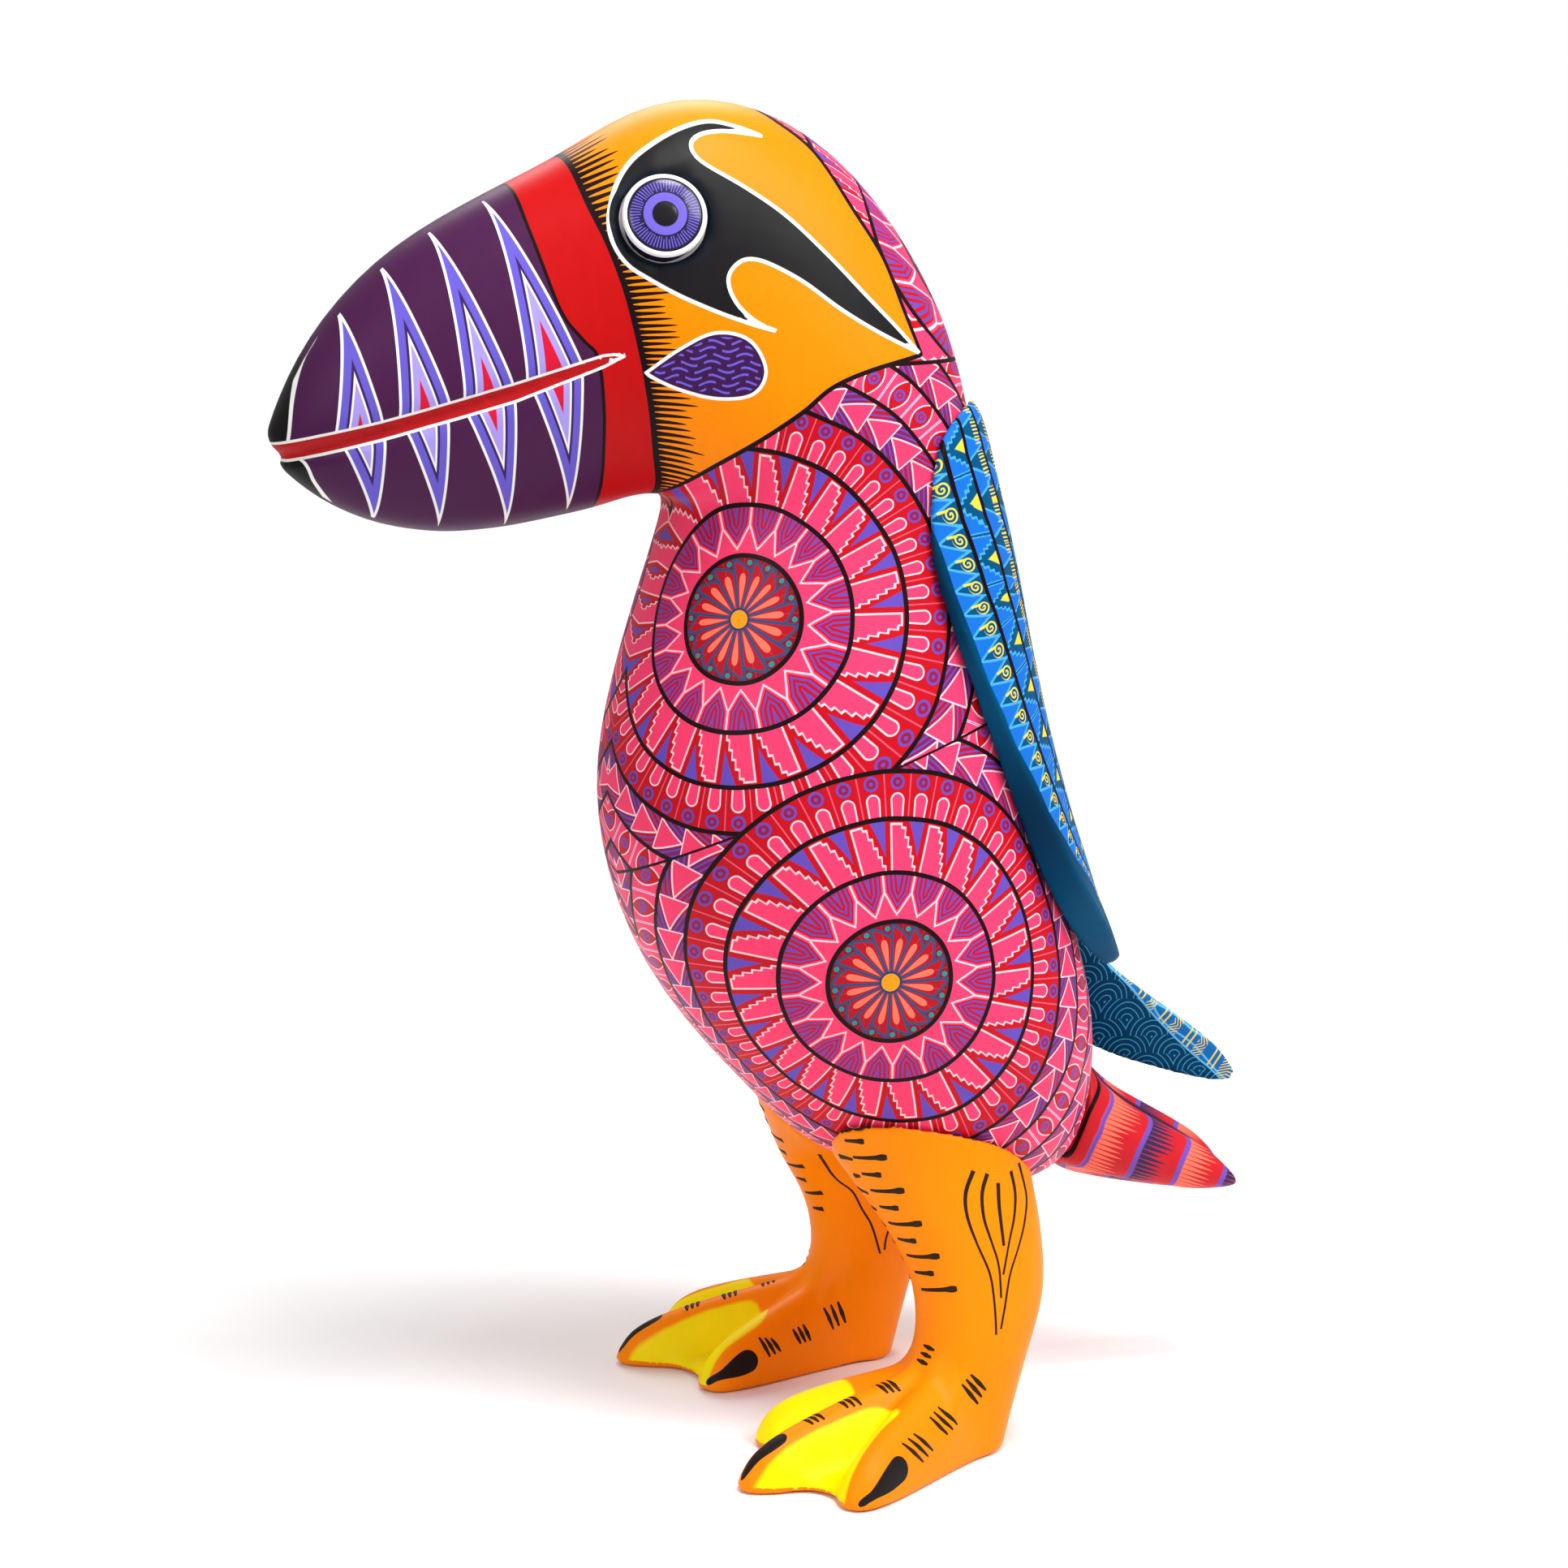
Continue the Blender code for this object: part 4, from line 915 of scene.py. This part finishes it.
FLAMES = (
    [(40.8, 27.0, 65.9), (41.3, 24.9, 61.2), (42.0, 25.1, 55.8), (42.8, 27.3, 49.3), (43.5, 30.0, 42.6),
     (44.3, 30.9, 35.3), (44.9, 31.1, 28.8)],
    [(36.1, 40.3, 65.2), (36.8, 41.6, 58.3), (39.3, 40.4, 53.4), (41.7, 37.8, 47.8), (43.4, 35.0, 42.0),
     (44.4, 33.4, 35.0), (44.8, 32.3, 30.0)],
    [(40.5, 30.5, 64.8), (41.3, 28.9, 60.8), (42.2, 29.0, 55.4), (42.9, 30.6, 49.9), (43.5, 32.2, 44.3),
     (44.1, 32.5, 37.0)],
    [(38.3, 37.3, 64.2), (39.1, 38.0, 59.3), (40.7, 37.0, 54.2), (42.3, 35.2, 49.2), (43.3, 33.2, 42.1)],
    [(40.4, 33.3, 62.4), (41.4, 33.1, 56.7), (42.6, 33.7, 48.5)],
    [(15.0, 12.8, 60.3), (17.0, 12.8, 57.0), (19.3, 15.2, 51.6), (20.1, 17.9, 48.0), (20.1, 21.7, 44.8),
     (21.1, 24.6, 39.8), (21.6, 27.3, 35.3), (22.2, 29.8, 27.8)],
    [(15.0, 17.0, 58.2), (16.1, 18.7, 53.0), (18.2, 20.5, 49.8), (18.9, 22.8, 47.0), (19.4, 26.6, 43.0),
     (20.7, 29.4, 37.2)],
    [(17.5, 39.0, 54.0), (18.5, 37.5, 48.0), (20.0, 34.0, 41.0), (21.7, 31.3, 32.5), (22.2, 30.9, 28.7)],
)
for line in FLAMES:
    fine = [tuple(p) for p in rounded(line, steps=4)]
    marks.append((fine, [0.56 - 0.30 * min(1.0, i / 12) for i in range(len(fine))]))
TRIPLES = (
    (((45.2, 22.7, 18.4), (45.2, 26.6, 13.4)), ((44.8, 25.0, 20.3), (45.1, 28.6, 16.3))),
    (((50.8, 12.8, 14.0), (50.9, 17.1, 9.4)), ((48.4, 15.7, 15.1), (48.9, 20.2, 10.6))),
    (((57.5, 3.6, 11.5), (56.6, 9.0, 6.1)), ((55.0, 7.3, 12.3), (54.1, 12.3, 7.4))),
    (((37.2, 5.2, 18.0), (41.2, 6.7, 17.1)), ((37.2, 8.0, 18.3), (41.2, 9.6, 17.0))),
    (((38.0, -4.4, 15.9), (42.3, -3.2, 15.2)), ((37.8, -1.7, 16.5), (42.3, 0.0, 15.5))),
    (((39.8, -13.5, 13.6), (43.8, -12.0, 13.1)), ((39.6, -10.8, 14.3), (43.5, -9.2, 13.8))),
    (((36.6, 17.2, 25.4), (39.6, 18.4, 25.0)), ((36.4, 16.0, 21.9), (39.4, 17.0, 21.7))),
    (((23.9, 16.0, 15.3), (23.3, 18.2, 9.9)), ((24.7, 19.8, 16.2), (24.1, 21.6, 10.9))),
    (((21.6, 7.2, 11.7), (20.7, 8.9, 8.2)), ((22.5, 10.1, 12.3), (21.2, 11.6, 8.5))),
    (((19.7, -2.0, 11.4), (18.1, 0.2, 6.8)), ((19.8, 1.0, 10.8), (19.1, 3.2, 7.5))),
)
for first, last in TRIPLES:
    for share in (0.0, 0.5, 1.0):
        head, foot = (tuple(a + (b - a) * share for a, b in zip(p, q)) for p, q in zip(first, last))
        middle = tuple((a + b) / 2 for a, b in zip(head, foot))
        marks.append(([head, middle, foot], (0.24, 0.56, 0.26)))

brush_marks = bpy.data.node_groups.new("brush_marks", "GeometryNodeTree")
for label, kind in (("Geometry", "Geometry"), ("Skin", "Object"), ("Paint", "Material"), ("Spacing", "Float"),
                    ("Flatness", "Float"), ("Lift", "Float")):
    brush_marks.interface.new_socket(name=label, in_out="INPUT", socket_type="NodeSocket" + kind)
brush_marks.interface.new_socket(name="Geometry", in_out="OUTPUT", socket_type="NodeSocketGeometry")


def geo(kind, inputs=None, **settings):
    return add(brush_marks, kind, inputs, **settings)


given = geo("NodeGroupInput").outputs
skin_info = geo("GeometryNodeObjectInfo", {"Object": given["Skin"]})
pulls = geo("GeometryNodeMeshToCurve", {"Mesh": given["Geometry"]})
even = geo("GeometryNodeResampleCurve", mode="LENGTH", inputs={
    "Curve": pulls.outputs[0], "Length": given["Spacing"]})
touch = geo("GeometryNodeProximity", {0: skin_info.outputs["Geometry"]}, target_element="FACES")
normal = geo("GeometryNodeInputNormal")
facing = geo("GeometryNodeSampleNearestSurface", {
    "Mesh": skin_info.outputs["Geometry"], "Sample Position": touch.outputs["Position"],
    "Value": normal.outputs[0]}, data_type="FLOAT_VECTOR")
lift = geo("ShaderNodeVectorMath", {0: facing.outputs["Value"], "Scale": given["Lift"]}, operation="SCALE")
spot = geo("ShaderNodeVectorMath", {0: touch.outputs["Position"], 1: lift.outputs[0]})
laid = geo("GeometryNodeSetPosition", {"Geometry": even.outputs[0], "Position": spot.outputs[0]})
keep_up = geo("GeometryNodeStoreNamedAttribute", {
    "Geometry": laid.outputs[0], "Name": "up", "Value": facing.outputs["Value"]},
    data_type="FLOAT_VECTOR", domain="POINT")
up = geo("GeometryNodeInputNamedAttribute", {"Name": "up"}, data_type="FLOAT_VECTOR")
turned = geo("GeometryNodeSetCurveNormal", mode="FREE", inputs={
    "Curve": keep_up.outputs[0], "Normal": up.outputs[0]})
load = geo("GeometryNodeInputNamedAttribute", {"Name": "load"}, data_type="FLOAT")
bristle = geo("GeometryNodeCurvePrimitiveCircle", {"Resolution": 8, "Radius": 1.0})
flat = geo("ShaderNodeCombineXYZ", {"X": given["Flatness"], "Z": 1.0, "Y": 1.0})
lens = geo("GeometryNodeTransform", {"Geometry": bristle.outputs[0], "Scale": flat.outputs[0]})
ridge = geo("GeometryNodeCurveToMesh", {
    "Curve": turned.outputs[0], "Profile Curve": lens.outputs[0], "Scale": load.outputs[0],
    "Fill Caps": True})
smooth = geo("GeometryNodeSetShadeSmooth", {"Geometry": ridge.outputs[0]})
real = geo("GeometryNodeRealizeInstances", {"Geometry": smooth.outputs[0]})
painted = geo("GeometryNodeSetMaterial", {"Geometry": real.outputs[0], "Material": given["Paint"]})
geo("NodeGroupOutput", {0: painted.outputs[0]})

mark_paint, tree = start_paint("black_mark_paint")
place = add(tree, "ShaderNodeTexCoord").outputs["Object"]
colour = coats(tree, (34, 24, 14), ((52, 36, 18), noise(tree, place, 300)))
finish_paint(tree, colour, streaks=0.1)


def lay_marks(name, marks, side, skin, paint):
    """Lays a list of brush pulls on one carved piece and makes them a plain mesh."""
    verts, edges, loads = [], [], []
    for points, sizes in marks:
        first = len(verts)
        verts += [(p[0] * side * MM, p[1] * MM, p[2] * MM) for p in points]
        loads += [s * MM for s in sizes]
        edges += [(first + i, first + i + 1) for i in range(len(points) - 1)]
    mesh = bpy.data.meshes.new(name)
    mesh.from_pydata(verts, edges, [])
    mesh.attributes.new("load", "FLOAT", "POINT").data.foreach_set("value", loads)
    piece = bpy.data.objects.new(name, mesh)
    scene.collection.objects.link(piece)
    modifier = piece.modifiers.new("brush", "NODES")
    modifier.node_group = brush_marks
    sockets = {s.name: s.identifier for s in brush_marks.interface.items_tree if s.in_out == "INPUT"}
    for label, value in (("Skin", skin), ("Paint", paint), ("Spacing", 0.7 * MM), ("Flatness", 0.22),
                         ("Lift", 0.03 * MM)):
        modifier[sockets[label]] = value
    evaluated = piece.evaluated_get(bpy.context.evaluated_depsgraph_get())
    done = bpy.data.meshes.new_from_object(evaluated)
    piece.modifiers.clear()
    piece.data = done
    bm = bmesh.new()
    bm.from_mesh(done)
    bmesh.ops.recalc_face_normals(bm, faces=bm.faces)
    bm.to_mesh(done)
    bm.free()
    for leftover in ("up", "load"):
        if leftover in done.attributes:
            done.attributes.remove(done.attributes[leftover])
    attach(piece, "root")
    return piece


lay_marks("left_leg_marks", marks, 1, legs["left_leg"], mark_paint)
lay_marks("right_leg_marks", marks, -1, legs["right_leg"], mark_paint)

# ----------------------------------------------------------------- eyes
# A turned wooden button is glued in each socket: black pupil, flat lavender
# ring, and an iris of fine lavender strokes on dark violet.
SPOKES = 64
LAVENDER = (112, 96, 206)
eye_paint, tree = start_paint("painted_eye_violet")
x, y, z, _ = object_place(tree)
ex, ey, ez = x - EYE[0], y - EYE[1], z - EYE[2]
upward = (EYE_AIM.cross(Vector((0, 1, 0)))).normalized()
forward = upward.cross(EYE_AIM).normalized()
flat, tall = (ex * way.x + ey * way.y + ez * way.z for way in (forward, upward))
far = length_of(tree, flat, tall)
spoke = tall.step("ARCTAN2", flat) * (SPOKES / (2 * math.pi))
start = chance(tree, spoke) * 1.6 + 4.2
strokes = spoke.part().near(0.5, 0.19, 0.1) * far.over(start) * far.under(7.3)
colour = coats(
    tree, (36, 28, 76), (LAVENDER, strokes), (LAVENDER, far.near(3.7, 0.95)), ((18, 14, 20), far.under(2.65)),
    ((20, 16, 40), far.near(4.75, 0.16)), ((20, 14, 36), far.near(7.7, 0.2)), (WHITE, far.over(7.95)))
finish_paint(tree, colour, streaks=0.05, ridges=0.2)
tree.nodes["Principled BSDF"].inputs["Coat Weight"].default_value = 0.5
tree.nodes["Principled BSDF"].inputs["Coat Roughness"].default_value = 0.15

# The button's turned outline, from the middle of its dome to the middle of
# its back: radius and height over the disc's foot, in mm.
BUTTON = [
    (0, 3.25), (1.2, 3.23), (2.3, 3.1), (2.7, 2.98), (3.4, 3.02), (4.4, 2.92), (5.6, 2.70), (6.8, 2.42),
    (7.5, 2.2), (7.8, 2.05), (8.0, 2.16), (8.3, 2.2), (8.6, 2.1), (8.85, 1.85), (9.0, 1.5), (8.9, 1.0),
    (8.3, 0.6), (8.12, 0.1), (7.9, 0.02), (0, 0.02)]
BUTTON_SIDES = 72


def eye_button(name, side):
    """A domed button turned to the CAD disc's radius and depth."""
    aim = Vector((EYE_AIM.x * side, EYE_AIM.y, EYE_AIM.z))
    base = Vector((EYE[0] * side, EYE[1], EYE[2]))
    up = aim.cross(Vector((0, 1, 0))).normalized()
    over = up.cross(aim).normalized()
    bm = bmesh.new()
    rings = []
    for radius, height in BUTTON:
        turns = [2 * math.pi * k / BUTTON_SIDES for k in range(BUTTON_SIDES if radius else 1)]
        places = [base + aim * height + (over * math.cos(t) + up * math.sin(t)) * radius for t in turns]
        rings.append([bm.verts.new(spot * MM) for spot in places])
    for a, b in zip(rings[:-1], rings[1:]):
        for k in range(BUTTON_SIDES):
            n = (k + 1) % BUTTON_SIDES
            corners = [a[k % len(a)], b[k % len(b)], b[n % len(b)], a[n % len(a)]]
            bm.faces.new(list(dict.fromkeys(corners)))
    bmesh.ops.recalc_face_normals(bm, faces=bm.faces)
    mesh = bpy.data.meshes.new(name)
    bm.to_mesh(mesh)
    bm.free()
    mesh.polygons.foreach_set("use_smooth", [True] * len(mesh.polygons))
    mesh.materials.append(eye_paint)
    button = bpy.data.objects.new(name, mesh)
    scene.collection.objects.link(button)
    return button


for node, side in (("left_eye", 1), ("right_eye", -1)):
    button = eye_button(node + "_button", side)
    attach(button, "root")
    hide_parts(node)

# --------------------------------------------------------------- dowels
# Bare birch pegs hold the legs, the tail and the wings. They are glued into
# drilled holes and keep the mesh they came with, as the joints hide them.
peg_wood, tree = start_paint("bare_birch")
shader = tree.nodes["Principled BSDF"]
place = add(tree, "ShaderNodeTexCoord").outputs["Object"]
fibre = add(tree, "ShaderNodeMapping", {"Vector": place, "Scale": (1, 1, 0.1)})
grain = noise(tree, fibre.outputs[0], 900)
bump = add(tree, "ShaderNodeBump", {"Height": grain, "Strength": 0.2, "Distance": 0.1 * MM})
tree.links.new(coats(tree, (214, 178, 128), ((178, 138, 90), grain)), shader.inputs["Base Color"])
tree.links.new(bump.outputs["Normal"], shader.inputs["Normal"])
shader.inputs["Roughness"].default_value = 0.7
for name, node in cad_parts.items():
    if "dowel" in name:
        node.data.materials.clear()
        node.data.materials.append(peg_wood)
